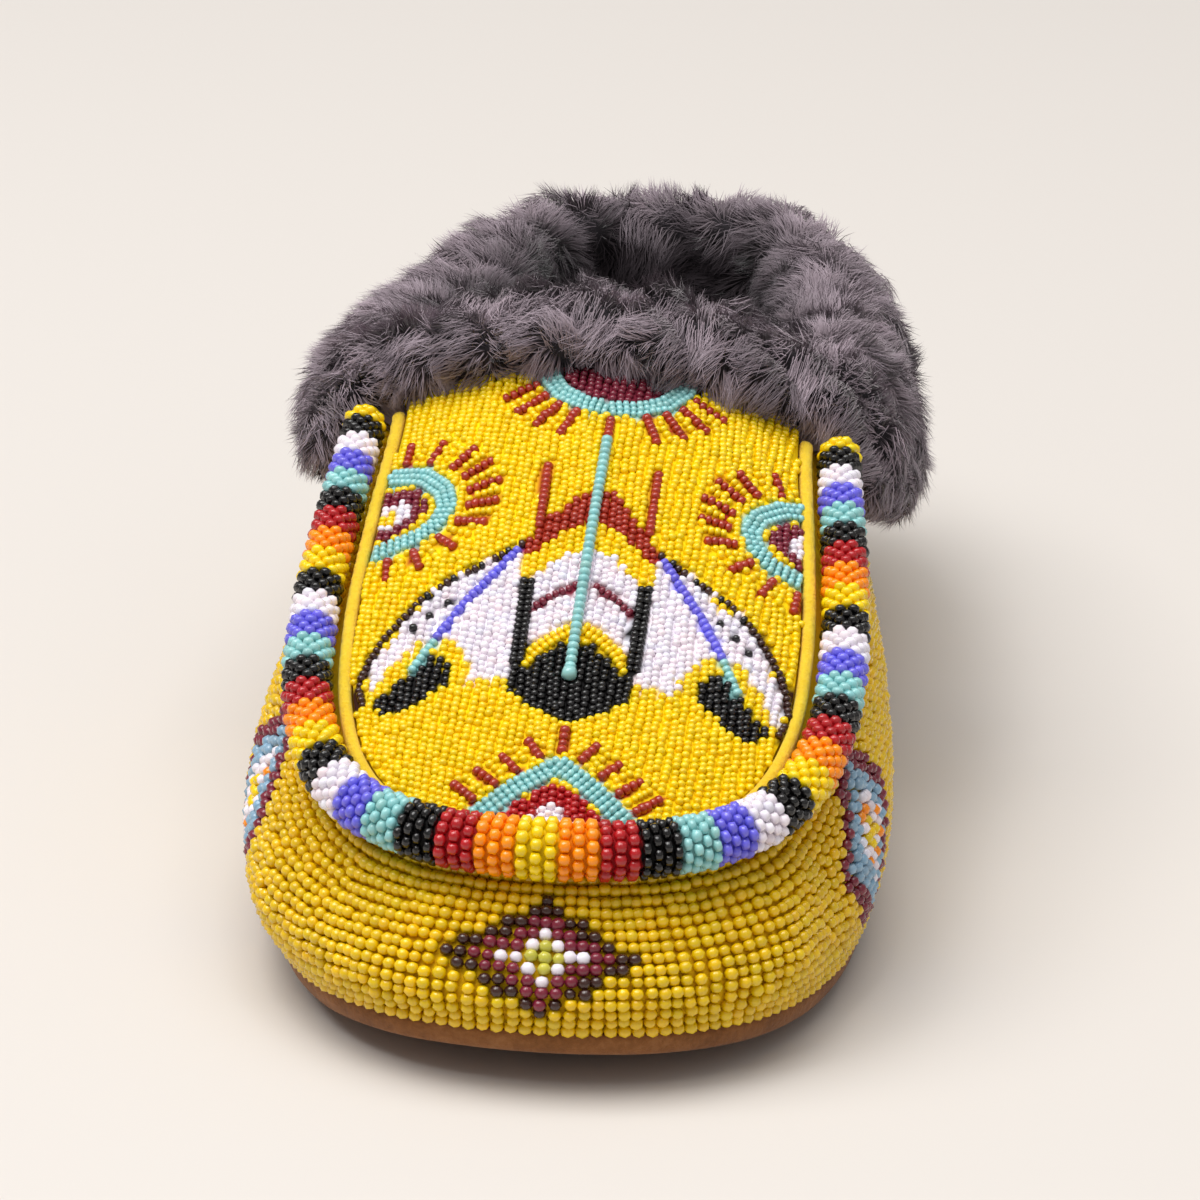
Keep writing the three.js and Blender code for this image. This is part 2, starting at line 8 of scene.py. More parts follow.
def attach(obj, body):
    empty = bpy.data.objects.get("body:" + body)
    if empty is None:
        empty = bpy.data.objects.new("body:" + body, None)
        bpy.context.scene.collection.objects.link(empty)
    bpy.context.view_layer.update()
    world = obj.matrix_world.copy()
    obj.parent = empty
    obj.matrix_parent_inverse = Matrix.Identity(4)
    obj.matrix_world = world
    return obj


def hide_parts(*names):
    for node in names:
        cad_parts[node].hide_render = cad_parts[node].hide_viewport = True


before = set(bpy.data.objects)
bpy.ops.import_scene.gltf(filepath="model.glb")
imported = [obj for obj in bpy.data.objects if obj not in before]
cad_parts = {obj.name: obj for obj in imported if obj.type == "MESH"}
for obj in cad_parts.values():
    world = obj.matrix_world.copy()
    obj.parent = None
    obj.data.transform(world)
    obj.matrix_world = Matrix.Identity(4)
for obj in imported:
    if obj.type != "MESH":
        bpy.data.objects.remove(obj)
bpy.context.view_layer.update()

mm = 0.001
rng = np.random.default_rng(41)


# The last of the shoe in millimetres, with the tables that its solids follow
last = {
    "toeTip": -125.0,
    "soleEdge": 2.6,
    "edgeLift": 2.4,
    "toeSpring": 3.6,
    "springStart": 48.0,
    "seatGap": 0.45,
    "bellyShare": 0.8,
    "throatRow": 9.0,
    "throatDip": 9.0,
    "upperWall": 2.8,
    # behind the toe, inner half width, outer half width
    "sole": np.array([
        (0, 0, 0), (1, 10, 10), (4, 19.4, 19.4), (12, 30.4, 29.4), (24, 38.4, 36.6), (40, 43.6, 42),
        (60, 46.2, 45.6), (80, 45.8, 46.4), (105, 43.2, 45.4), (125, 40.2, 43.9), (155, 36.2, 41),
        (180, 34.6, 38.4), (205, 33.6, 36), (225, 31, 32.6), (238, 26.4, 27), (246, 19.4, 19.6),
        (249, 10.4, 10.4), (250, 0, 0),
    ], float),
    # behind the toe, height of the rim, lean of the rim, swell of the inner side, swell of the outer side
    "wall": np.array([
        (0, 31, 12.6, 4.6, 4.6), (12, 32, 9.6, 4.2, 5.2), (24, 34.2, 7.2, 3.8, 5.6), (40, 39, 6.8, 3.8, 6),
        (60, 46.4, 8.2, 4.2, 6.4), (80, 54.2, 9.2, 4.6, 6.2), (105, 63, 9.2, 4.8, 5.4),
        (125, 67, 6.4, 4.2, 4.6), (155, 63, 3.4, 3.6, 3.8), (190, 58.4, 3.2, 3.6, 3.8),
        (225, 56.8, 4.8, 4.2, 4.2), (250, 57, 6.4, 4.4, 4.4),
    ], float),
    # behind the toe, crown of the vamp
    "vamp": np.array([
        (0, 0), (4, 1.4), (12, 3), (24, 5), (40, 6.6), (60, 8.2), (80, 9.2), (125, 11),
    ], float),
}
rowCount = len(last["sole"]) - 1


def tableColumn(table, column, behindToe):
    place, value = table[:, 0], table[:, column]
    count = len(place)
    before = np.maximum(np.arange(count) - 1, 0)
    after = np.minimum(np.arange(count) + 1, count - 1)
    slope = (value[after] - value[before]) / (place[after] - place[before])
    i = np.clip(np.searchsorted(place, behindToe, side="left") - 1, 0, count - 2)
    span = place[i + 1] - place[i]
    t = np.clip((behindToe - place[i]) / span, 0, 1)
    rise = value[i + 1] - value[i]
    start = slope[i] * span - rise
    end = rise - slope[i + 1] * span
    return value[i] + rise * t + t * (1 - t) * (start * (1 - t) + end * t)


innerEdge = [(row[1], last["toeTip"] + row[0]) for row in last["sole"]]
outerEdge = [(-row[2], last["toeTip"] + row[0]) for row in last["sole"][1:-1]]
edgeCorners = np.array(innerEdge + outerEdge[::-1])


def edgeCurve(around):
    place = (np.asarray(around, float) % 1.0) * len(edgeCorners)
    i = np.floor(place).astype(int)
    t = (place - i)[..., None]
    a, b, c, d = (edgeCorners[(i + step) % len(edgeCorners)] for step in (-1, 0, 1, 2))
    ab, bc, cd = (np.sqrt(np.linalg.norm(q - p, axis=-1, keepdims=True)) for p, q in ((a, b), (b, c), (c, d)))
    start = ((b - a) / ab - (c - a) / (ab + bc) + (c - b) / bc) * bc
    end = ((c - b) / bc - (d - b) / (bc + cd) + (d - c) / cd) * bc
    return b + start * t + (3 * (c - b) - 2 * start - end) * t**2 + (2 * (b - c) + start + end) * t**3


def edgePoint(around):
    step = 1e-4
    along = edgeCurve(np.asarray(around) + step) - edgeCurve(np.asarray(around) - step)
    along = along / np.linalg.norm(along, axis=-1, keepdims=True)
    return edgeCurve(around), np.stack([along[..., 1], -along[..., 0]], -1)


def springAt(behindToe):
    return last["toeSpring"] * np.maximum(0, (last["springStart"] - behindToe) / last["springStart"]) ** 2


def featherHeight(behindToe):
    return springAt(behindToe) + last["edgeLift"] + last["soleEdge"] + last["seatGap"]


# Creases of the wall: middle and reach round the edge and up the wall, and swell outwards in mm
creaseFade = 6.0    # they die out over a sixth of the height at sole and rim
creases = [
    {"around": -0.092, "share": 0.72, "wide": 0.034, "tall": 0.16, "depth": -1.5},
    {"around": -0.128, "share": 0.36, "wide": 0.022, "tall": 0.26, "depth": 1.1},
    {"around": -0.03, "share": 0.3, "wide": 0.03, "tall": 0.22, "depth": 0.6},
    {"around": 0.104, "share": 0.42, "wide": 0.016, "tall": 0.3, "depth": 0.9},
    {"around": 0.132, "share": 0.5, "wide": 0.014, "tall": 0.32, "depth": -1.3},
    {"around": 0.05, "share": 0.76, "wide": 0.03, "tall": 0.14, "depth": -0.8},
]


def creaseDepth(around, share):
    signed = (around + 0.5) % 1.0 - 0.5
    depth = 0.0
    for crease in creases:
        beside = (signed - crease["around"]) / crease["wide"]
        above = (share - crease["share"]) / crease["tall"]
        depth = depth + crease["depth"] * np.exp(-beside**2 - above**2)
    return depth * np.clip(creaseFade * share, 0, 1) * np.clip(creaseFade * (1 - share), 0, 1)


def wallPoint(around, share):
    around = np.asarray(around, float) % 1.0
    share = np.asarray(share, float)
    point, out = edgePoint(around)
    behindToe = point[..., 1] - last["toeTip"]
    foot = featherHeight(behindToe)
    rim = tableColumn(last["wall"], 1, behindToe)
    inner = tableColumn(last["wall"], 3, behindToe)
    outer = tableColumn(last["wall"], 4, behindToe)
    swell = np.where(around < 0.5, inner, outer)
    lean = tableColumn(last["wall"], 2, behindToe)
    offset = swell * np.sin(math.pi * np.clip(share, 0, 1) ** last["bellyShare"]) - lean * share * share
    offset = offset + creaseDepth(around, share)
    level = point + out * offset[..., None]
    return np.concatenate([level, (foot + (rim - foot) * share)[..., None]], -1)


def rimPoint(around):
    return wallPoint(around, np.ones_like(around))


def rowPlace(side, row):
    return row / (2 * rowCount) if side > 0 else 1 - row / (2 * rowCount)


def vampPoint(row, across):
    row = np.asarray(row, float)
    across = np.asarray(across, float)
    outer = rimPoint(rowPlace(-1, row))
    inner = rimPoint(rowPlace(1, row))
    point = outer + (inner - outer) * across[..., None]
    arch = 1 - np.minimum((2 * across - 1) ** 2, 1)
    behindToe = edgePoint(rowPlace(1, row))[0][..., 1] - last["toeTip"]
    point[..., 2] += tableColumn(last["vamp"], 1, behindToe) * arch
    point[..., 1] -= last["throatDip"] * arch * (row / last["throatRow"]) ** 3
    return point


searchRounds = 34    # halvings until the row of the vamp is found


def onVamp(x, y):
    x = np.asarray(x, float)
    low = np.zeros_like(x)
    high = np.full_like(x, last["throatRow"])
    for _ in range(searchRounds):
        row = (low + high) / 2
        outer = rimPoint(rowPlace(-1, row))[..., 0]
        inner = rimPoint(rowPlace(1, row))[..., 0]
        across = np.clip((x - outer) / np.maximum(inner - outer, 1e-6), 0, 1)
        short = vampPoint(row, across)[..., 1] < y
        low = np.where(short, row, low)
        high = np.where(short, high, row)
    return vampPoint((low + high) / 2, across)


def unit(vectors):
    return vectors / np.maximum(np.linalg.norm(vectors, axis=-1, keepdims=True), 1e-9)


def runLengths(points):
    return np.concatenate([[0], np.cumsum(np.linalg.norm(np.diff(points, axis=0), axis=1))])


def nearestOf(points, others, part=400):
    found = []
    for first in range(0, len(points), part):
        ways = points[first:first + part, None] - others[None]
        found.append(np.argmin((ways**2).sum(-1), axis=1))
    return np.concatenate(found)


def vampNormal(x, y):
    step = 0.6
    slopeX = (onVamp(x + step, y)[..., 2] - onVamp(x - step, y)[..., 2]) / (2 * step)
    slopeY = (onVamp(x, y + step)[..., 2] - onVamp(x, y - step)[..., 2]) / (2 * step)
    return unit(np.stack([-slopeX, -slopeY, np.ones_like(slopeX)], -1))


def vampPlace(plan):
    x, y = plan[:, 0], plan[:, 1]
    return onVamp(x, y), vampNormal(x, y)


def wallNormal(around, share):
    step, rise = 0.004, 0.03
    along = wallPoint(np.asarray(around) + step, share) - wallPoint(np.asarray(around) - step, share)
    high = np.minimum(np.asarray(share) + rise, 1)
    low = np.maximum(np.asarray(share) - rise, 0)
    up = wallPoint(around, high) - wallPoint(around, low)
    return unit(np.cross(along, up)), unit(up)


print("stage: last ready")


# Colours as the photo shows them, in sRGB
palette = {
    "yellow": (245, 209, 1),
    # yellow darkened for the wall beads: painted shade, standing in for the wall taking less light than the
    # vamp
    "gold": (230, 190, 2),
    "orange": (255, 146, 0),
    "red": (176, 24, 30),
    "rust": (164, 44, 24),
    "maroon": (122, 32, 52),
    "black": (14, 12, 13),
    "brown": (58, 28, 20),
    "teal": (146, 204, 204),
    "blue": (110, 104, 224),
    "sky": (140, 174, 198),
    "white": (240, 232, 241),
    "lime": (200, 192, 70),
}
beadTint = {"shade": 0.05, "warmth": 0.022, "warmWay": (1.0, -0.4, -1.0)}


def linear(color):
    value = np.asarray(color, float) / 255
    return np.where(value <= 0.04045, value / 12.92, ((value + 0.055) / 1.055) ** 2.4)


def beadColors(names):
    colors = np.array([linear(palette[name]) for name in names])
    shade = rng.normal(1, beadTint["shade"], (len(names), 1))
    warm = rng.normal(0, beadTint["warmth"], (len(names), 1)) * np.array(beadTint["warmWay"])
    return np.clip(colors * shade * (1 + warm), 0, 1)


# Materials
def newMaterial(name):
    material = bpy.data.materials.new(name)
    material.use_nodes = True
    return material, material.node_tree.nodes, material.node_tree.links


def setInputs(node, values):
    for name, value in values.items():
        node.inputs[name].default_value = value


def colorFrom(nodes, links, shader, attribute):
    color = nodes.new("ShaderNodeAttribute")
    color.attribute_name = attribute
    links.new(color.outputs["Color"], shader.inputs["Base Color"])


def noiseAt(nodes, links, source, scale, detail, rough=0.6):
    noise = nodes.new("ShaderNodeTexNoise")
    setInputs(noise, {"Scale": scale, "Detail": detail, "Roughness": rough})
    links.new(source.outputs["Object"], noise.inputs["Vector"])
    return noise


def rampOf(nodes, links, factor, stops):
    ramp = nodes.new("ShaderNodeValToRGB")
    while len(ramp.color_ramp.elements) < len(stops):
        ramp.color_ramp.elements.new(0.5)
    for element, (place, color) in zip(ramp.color_ramp.elements, stops):
        element.position = place
        element.color = (*linear(color), 1)
    links.new(factor, ramp.inputs["Fac"])
    return ramp


def bumpFrom(nodes, links, height, shader, strength, distance):
    bump = nodes.new("ShaderNodeBump")
    setInputs(bump, {"Strength": strength, "Distance": distance})
    links.new(height, bump.inputs["Height"])
    links.new(bump.outputs["Normal"], shader.inputs["Normal"])


def glassBeadMaterial(name, roughness):
    material, nodes, links = newMaterial(name)
    shader = nodes["Principled BSDF"]
    colorFrom(nodes, links, shader, "beadColor")
    place = nodes.new("ShaderNodeTexCoord")
    grain = noiseAt(nodes, links, place, 650, 2)
    span = nodes.new("ShaderNodeMapRange")
    setInputs(span, {"To Min": roughness - 0.06, "To Max": roughness + 0.1})
    links.new(grain.outputs["Fac"], span.inputs["Value"])
    links.new(span.outputs["Result"], shader.inputs["Roughness"])
    setInputs(shader, {"IOR": 1.52, "Coat Weight": 0.25, "Coat Roughness": 0.08})
    return material


def clothMaterial(name, stops, grain, bump, roughness, sheen=0.0):
    material, nodes, links = newMaterial(name)
    shader = nodes["Principled BSDF"]
    place = nodes.new("ShaderNodeTexCoord")
    patches = noiseAt(nodes, links, place, grain * 0.12, 4)
    fibre = noiseAt(nodes, links, place, grain, 6, 0.7)
    mix = nodes.new("ShaderNodeMix")
    mix.inputs["Factor"].default_value = 0.5
    links.new(patches.outputs["Fac"], mix.inputs["A"])
    links.new(fibre.outputs["Fac"], mix.inputs["B"])
    ramp = rampOf(nodes, links, mix.outputs["Result"], stops)
    links.new(ramp.outputs["Color"], shader.inputs["Base Color"])
    setInputs(shader, {"Roughness": roughness, "Sheen Weight": sheen, "Specular IOR Level": 0.2})
    bumpFrom(nodes, links, fibre.outputs["Fac"], shader, bump, 0.0006)
    return material


def tintedMaterial(name):
    material, nodes, links = newMaterial(name)
    shader = nodes["Principled BSDF"]
    colorFrom(nodes, links, shader, "beadColor")
    place = nodes.new("ShaderNodeTexCoord")
    fibre = noiseAt(nodes, links, place, 1600, 4)
    setInputs(shader, {"Roughness": 0.8, "Specular IOR Level": 0.2})
    bumpFrom(nodes, links, fibre.outputs["Fac"], shader, 0.3, 0.0004)
    return material


def hairMaterial(name):
    material, nodes, links = newMaterial(name)
    shader = nodes["Principled BSDF"]
    colorFrom(nodes, links, shader, "furColor")
    setInputs(shader, {"Roughness": 0.62, "Specular IOR Level": 0.3})
    setInputs(shader, {"Sheen Weight": 0.25, "Sheen Roughness": 0.4})
    return material


cloths = {
    "suede": {
        "name": "soleSuede", "grain": 900, "bump": 0.5, "roughness": 0.95, "sheen": 0.15,
        "stops": [(0.25, (94, 56, 28)), (0.5, (136, 88, 48)), (0.75, (168, 116, 72))],
    },
    "leather": {
        "name": "threadedLeather", "grain": 1200, "bump": 0.4, "roughness": 0.8,
        "stops": [(0.3, (214, 166, 6)), (0.7, (240, 196, 8))],
    },
    "binding": {
        "name": "yellowBinding", "grain": 1400, "bump": 0.8, "roughness": 0.9, "sheen": 0.15,
        "stops": [(0.3, (230, 186, 22)), (0.7, (250, 218, 58))],
    },
    "fleece": {
        "name": "greyFleece", "grain": 500, "bump": 0.8, "roughness": 0.95, "sheen": 0.4,
        "stops": [(0.3, (60, 54, 59)), (0.7, (112, 104, 111))],
    },
    "furBase": {
        "name": "furSkin", "grain": 600, "bump": 0.6, "roughness": 1.0,
        "stops": [(0.3, (34, 31, 34)), (0.7, (60, 56, 60))],
    },
    "thread": {
        "name": "soleThread", "grain": 2500, "bump": 0.3, "roughness": 0.7,
        "stops": [(0.3, (176, 130, 66)), (0.7, (222, 184, 116))],
    },
}
materials = {key: clothMaterial(**cloth) for key, cloth in cloths.items()}
materials["sideBeads"] = glassBeadMaterial("sideBeadGlass", 0.2)
materials["vampBeads"] = glassBeadMaterial("vampBeadGlass", 0.16)
materials["ropeBeads"] = glassBeadMaterial("ropeBeadGlass", 0.15)
materials["ground"] = tintedMaterial("threadGround")
materials["fur"] = hairMaterial("plushHair")
print("stage: materials ready")


# Mesh helpers; points are in millimetres
def linked(name, data):
    piece = bpy.data.objects.new(name, data)
    bpy.context.scene.collection.objects.link(piece)
    return piece


def meshPiece(name, points, faces, material):
    mesh = bpy.data.meshes.new(name)
    corners = [tuple(point) for point in np.asarray(points) * mm]
    mesh.from_pydata(corners, [], [tuple(int(v) for v in face) for face in faces])
    mesh.validate()
    mesh.shade_smooth()
    mesh.materials.append(material)
    return linked(name, mesh)


def addLayer(mesh, name, kind, values):
    layer = mesh.attributes.new(name, kind, "POINT")
    field = "vector" if kind == "FLOAT_VECTOR" else "color"
    layer.data.foreach_set(field, np.asarray(values).astype(np.float32).ravel())


def opaque(colors):
    return np.column_stack([colors, np.ones(len(colors))])


def gridFaces(rows, columns, closedRows=False, closedColumns=False, first=0):
    faces = []
    for r in range(rows if closedRows else rows - 1):
        for c in range(columns if closedColumns else columns - 1):
            a = first + r * columns + c
            b = first + r * columns + (c + 1) % columns
            d = first + ((r + 1) % rows) * columns + c
            e = first + ((r + 1) % rows) * columns + (c + 1) % columns
            faces.append((a, b, e, d))
    return faces


def tubeFaces(rows, columns):
    ends = [tuple(range(columns))[::-1], tuple(range((rows - 1) * columns, rows * columns))]
    return gridFaces(rows, columns, closedColumns=True) + ends


def mergedSheet(points, faces):
    keys, index = np.unique(np.round(points, 3), axis=0, return_inverse=True)
    index = index.reshape(-1)
    kept = []
    for face in faces:
        ring = []
        for v in (index[k] for k in face):
            if v not in ring:
                ring.append(v)
        if len(ring) > 2:
            kept.append(ring)
    return keys, kept


def sheetNormals(points, faces):
    normals = np.zeros_like(points)
    for face in faces:
        corners = points[list(face)]
        normal = np.cross(corners[1] - corners[0], corners[2] - corners[0])
        if len(face) == 4:
            normal = np.cross(corners[2] - corners[0], corners[3] - corners[1])
        for v in face:
            normals[v] += normal
    return unit(normals)


def shellOf(points, faces, outside, inside):
    normals = sheetNormals(points, faces)
    count = len(points)
    use = {}
    for face in faces:
        for a, b in zip(face, face[1:] + face[:1]):
            key = (min(a, b), max(a, b))
            use[key] = None if key in use else (a, b)
    made = list(faces)
    made += [[v + count for v in face[::-1]] for face in faces]
    made += [[b, a, a + count, b + count] for a, b in (edge for edge in use.values() if edge)]
    return np.concatenate([points - normals * outside, points - normals * inside]), made


# Beads: one small glass barrel on every point of a cloud
def beadTree():
    tree = bpy.data.node_groups.new("beadsOnPoints", "GeometryNodeTree")
    face = tree.interface
    face.new_socket("Geometry", in_out="INPUT", socket_type="NodeSocketGeometry")
    segments = face.new_socket("Segments", in_out="INPUT", socket_type="NodeSocketInt")
    rings = face.new_socket("Rings", in_out="INPUT", socket_type="NodeSocketInt")
    finish = face.new_socket("Finish", in_out="INPUT", socket_type="NodeSocketMaterial")
    face.new_socket("Geometry", in_out="OUTPUT", socket_type="NodeSocketGeometry")
    nodes, links = tree.nodes, tree.links
    start = nodes.new("NodeGroupInput")
    ball = nodes.new("GeometryNodeMeshUVSphere")
    ball.inputs["Radius"].default_value = 1.0
    smooth = nodes.new("GeometryNodeSetShadeSmooth")
    turn, size = (nodes.new("GeometryNodeInputNamedAttribute") for _ in range(2))
    for stored, name in ((turn, "beadTurn"), (size, "beadSize")):
        stored.data_type = "FLOAT_VECTOR"
        stored.inputs["Name"].default_value = name
    rotation = nodes.new("FunctionNodeEulerToRotation")
    copies = nodes.new("GeometryNodeInstanceOnPoints")
    real = nodes.new("GeometryNodeRealizeInstances")
    paint = nodes.new("GeometryNodeSetMaterial")
    end = nodes.new("NodeGroupOutput")
    for source, given, node, taken in (
        (start, "Segments", ball, "Segments"),
        (start, "Rings", ball, "Rings"),
        (ball, "Mesh", smooth, "Geometry"),
        (turn, "Attribute", rotation, "Euler"),
        (start, "Geometry", copies, "Points"),
        (smooth, "Geometry", copies, "Instance"),
        (rotation, "Rotation", copies, "Rotation"),
        (size, "Attribute", copies, "Scale"),
        (copies, "Instances", real, "Geometry"),
        (real, "Geometry", paint, "Geometry"),
        (start, "Finish", paint, "Material"),
        (paint, "Geometry", end, "Geometry"),
    ):
        links.new(source.outputs[given], node.inputs[taken])
    return tree, {"segments": segments.identifier, "rings": rings.identifier, "finish": finish.identifier}


beadNodes, beadInputs = beadTree()


def turnsFrom(axis, out):
    z = unit(axis)
    x = unit(out - z * np.sum(out * z, -1, keepdims=True))
    y = np.cross(z, x)
    pitch = np.arcsin(np.clip(-x[:, 2], -1, 1))
    roll = np.arctan2(y[:, 2], z[:, 2])
    yaw = np.arctan2(x[:, 1], x[:, 0])
    return np.stack([roll, pitch, yaw], -1)


def beadPiece(name, centers, axis, out, sizes, colors, material, segments=8, rings=3):
    count = len(centers)
    cloud = bpy.data.meshes.new(name + "Points")
    cloud.vertices.add(count)
    cloud.vertices.foreach_set("co", (np.asarray(centers) * mm).astype(np.float32).ravel())
    addLayer(cloud, "beadTurn", "FLOAT_VECTOR", turnsFrom(axis, out))
    addLayer(cloud, "beadSize", "FLOAT_VECTOR", np.asarray(sizes) * mm)
    addLayer(cloud, "beadColor", "FLOAT_COLOR", opaque(colors))
    holder = linked(name + "Holder", cloud)
    modifier = holder.modifiers.new("beads", "NODES")
    modifier.node_group = beadNodes
    modifier[beadInputs["segments"]] = segments
    modifier[beadInputs["rings"]] = rings
    modifier[beadInputs["finish"]] = material
    graph = bpy.context.evaluated_depsgraph_get()
    made = bpy.data.meshes.new_from_object(holder.evaluated_get(graph))
    made.name = name
    for spare in ("beadTurn", "beadSize"):
        if spare in made.attributes:
            made.attributes.remove(made.attributes[spare])
    bpy.data.objects.remove(holder)
    print("  ", name, count, "beads", sum(len(p.vertices) - 2 for p in made.polygons), "triangles")
    return linked(name, made)


def tintLike(piece, points, beadPoints, beadTints, dim):
    tints = beadTints[nearestOf(points, beadPoints)] * dim
    addLayer(piece.data, "beadColor", "FLOAT_COLOR", opaque(tints))


def beadSizes(work, count):
    sizes = np.tile([work["radius"], work["radius"], work["length"]], (count, 1))
    return sizes * rng.normal(1, work["spread"], (count, 1)) if "spread" in work else sizes


def insidePolygon(x, y, corners):
    corners = np.asarray(corners, float)
    inside = np.zeros(len(x), bool)
    for (x1, y1), (x2, y2) in zip(corners, np.roll(corners, -1, axis=0)):
        crosses = (y1 > y) != (y2 > y)
        at = (x2 - x1) * (y - y1) / (y2 - y1 if y2 != y1 else 1e-9) + x1
        inside ^= crosses & (x < at)
    return inside


def alongLine(points, pitch, closed=False):
    points = np.asarray(points, float)
    if closed:
        points = np.concatenate([points, points[:1]])
    lengths = runLengths(points)
    count = max(int(round(lengths[-1] / pitch)), 1)
    at = np.linspace(0, lengths[-1], count + 1)
    if closed:
        at = at[:-1]
    return np.stack([np.interp(at, lengths, points[:, k]) for k in range(points.shape[1])], -1)


# Upper: thin leather under the beads
upper = {"beadLayer": 1.5, "aroundSteps": 272, "wallSteps": 14, "acrossSteps": 26, "tuck": 0.7}


def upperSheet():
    around = np.arange(upper["aroundSteps"]) / upper["aroundSteps"]
    shares = np.linspace(0, 1, upper["wallSteps"] + 1)
    rings = np.stack([wallPoint(around, np.full_like(around, s)) for s in shares])
    rings[0, :, 2] -= upper["tuck"]
    faces = gridFaces(len(shares), len(around), closedColumns=True)
    stepsPerRow = upper["aroundSteps"] // (2 * rowCount)
    rows = np.arange(int(last["throatRow"] * stepsPerRow) + 1) / stepsPerRow
    across = np.linspace(0, 1, upper["acrossSteps"] + 1)
    vamp = np.stack([vampPoint(np.full_like(across, r), across) for r in rows])
    faces += gridFaces(len(rows), len(across), first=rings.shape[0] * rings.shape[1])
    return mergedSheet(np.concatenate([rings.reshape(-1, 3), vamp.reshape(-1, 3)]), faces)


sheetPoints, sheetFaces = upperSheet()
leatherShell = shellOf(sheetPoints, sheetFaces, upper["beadLayer"], last["upperWall"])
leather = meshPiece("upperLeather", *leatherShell, materials["leather"])
print("stage: upper ready")


# Side wall beads in upright strings that sway a little
sideWork = {
    "pitch": 2.1,
    "alongString": 1.84,
    "radius": 1.1,
    "length": 0.94,
    "sink": 0.87,
    "toeLane": 19.0,
    "toeReach": 90.0,
    "rings": 4,
    "lowest": 2.6,
    "underRim": 1.5,
    "furFrom": 128.0,
    "underFur": 4.2,
    "heelCalm": 20,
    # width round the edge, change from string to string, start
    "sways": [(0.0016, 0.31, 0.0), (0.0014, 0.11, 1.3)],
    "ripple": 0.0004,
    "stray": 0.00022,
    "turnOff": 0.12,
    "spread": 0.045,
    "rowStray": 0.1,
    "depthStray": 0.1,
    "arcShare": 0.42,
    "arcSteps": 1361,
    "shareSteps": 121,
    "speckFrom": 40.0,
    "speckShare": 0.25,
    # arc from the toe's middle, share of the wall, half width and half height in millimetres
    "toeDiamond": {"arc": 3.0, "share": 0.485, "wide": 15.6, "high": 9.8},
    "sideDiamonds": [
        {"arc": 80.0, "share": 0.47, "wide": 15.0, "high": 17.5},
        {"arc": -81.0, "share": 0.47, "wide": 15.0, "high": 17.5},
        {"arc": 196.0, "share": 0.34, "wide": 15.0, "high": 13.5},
        {"arc": -196.0, "share": 0.34, "wide": 15.0, "high": 13.5},
    ],
    # reach of each tone from the diamond's middle
    "toeTones": [(1.02, "brown"), (0.78, "maroon"), (0.44, "white"), (0.25, "lime")],
    "sideTones": [(1.02, "maroon"), (0.72, "sky"), (0.44, "white"), (0.2, "yellow")],
}
# Fur: behind the toe, hang on the inner and the outer side, pile, depth and thickness of the lining
furRows = np.array([
    (120, 15, 14, 9.5, 5, 5), (134, 20, 17, 12, 9, 5), (160, 19, 18, 12, 15, 5.6),
    (200, 18, 18, 11.5, 15, 5.6), (250, 18, 18, 11, 15, 5.6),
], float)


def arcTable(share):
    around = np.linspace(-0.5, 0.5, sideWork["arcSteps"])
    points = wallPoint(around, np.full_like(around, share))
    arc = runLengths(points)
    return around, arc - np.interp(0, around, arc)


def furHem(behindToe, around):
    inner, outer = (np.interp(behindToe, furRows[:, 0], furRows[:, c]) for c in (1, 2))
    return np.where(around % 1.0 < 0.5, inner, outer)


def diamondColors(u, v, tones):
    # beads outside the tones keep the wall's darkened yellow, which is painted shade
    names = np.full(len(u), "gold", object)
    for reach, tone in tones:
        names[np.abs(u) + np.abs(v) < reach] = tone
    return names


def sideBeads():
    aroundTable, arcs = arcTable(sideWork["arcShare"])
    total = arcs[-1] - arcs[0]
    strings = int(round(total / sideWork["pitch"]))
    shares = np.linspace(0, 1, sideWork["shareSteps"])
    rows = []
    laneCount = None
    for k in range(strings):
        arc = arcs[0] + total * (k + 0.5) / strings
        base = np.interp(arc, arcs, aroundTable)
        sway = sum(width * math.sin(rate * k + start) for width, rate, start in sideWork["sways"])
        sway *= min(1, k / sideWork["heelCalm"], (strings - 1 - k) / sideWork["heelCalm"])
        around = base + sway * np.sin(math.pi * shares) + sideWork["ripple"] * np.sin(9 * shares + k)
        points = wallPoint(around, shares)
        lengths = runLengths(points)
        behindToe = points[0, 1] - last["toeTip"]
        top = lengths[-1] - sideWork["underRim"]
        if behindToe > sideWork["furFrom"]:
            top = lengths[-1] - furHem(behindToe, base) + sideWork["underFur"]
        bottom = sideWork["lowest"]
        count = max(int((top - bottom) / sideWork["alongString"]), 1)
        inLane = abs(arc - sideWork["toeDiamond"]["arc"]) < sideWork["toeLane"]
        laneCount = (laneCount or count) if inLane else None    # level rows through the toe's diamond
        count = laneCount or count
        at = bottom + (top - bottom) * (np.arange(count) + 0.5) / count
        at = at + rng.normal(0, sideWork["rowStray"], count)
        share = np.interp(at, lengths, shares)
        place = np.interp(share, shares, around)
        rows.append(np.column_stack([place, share, np.full(count, arc), at, np.full(count, lengths[-1])]))
    return np.concatenate(rows)


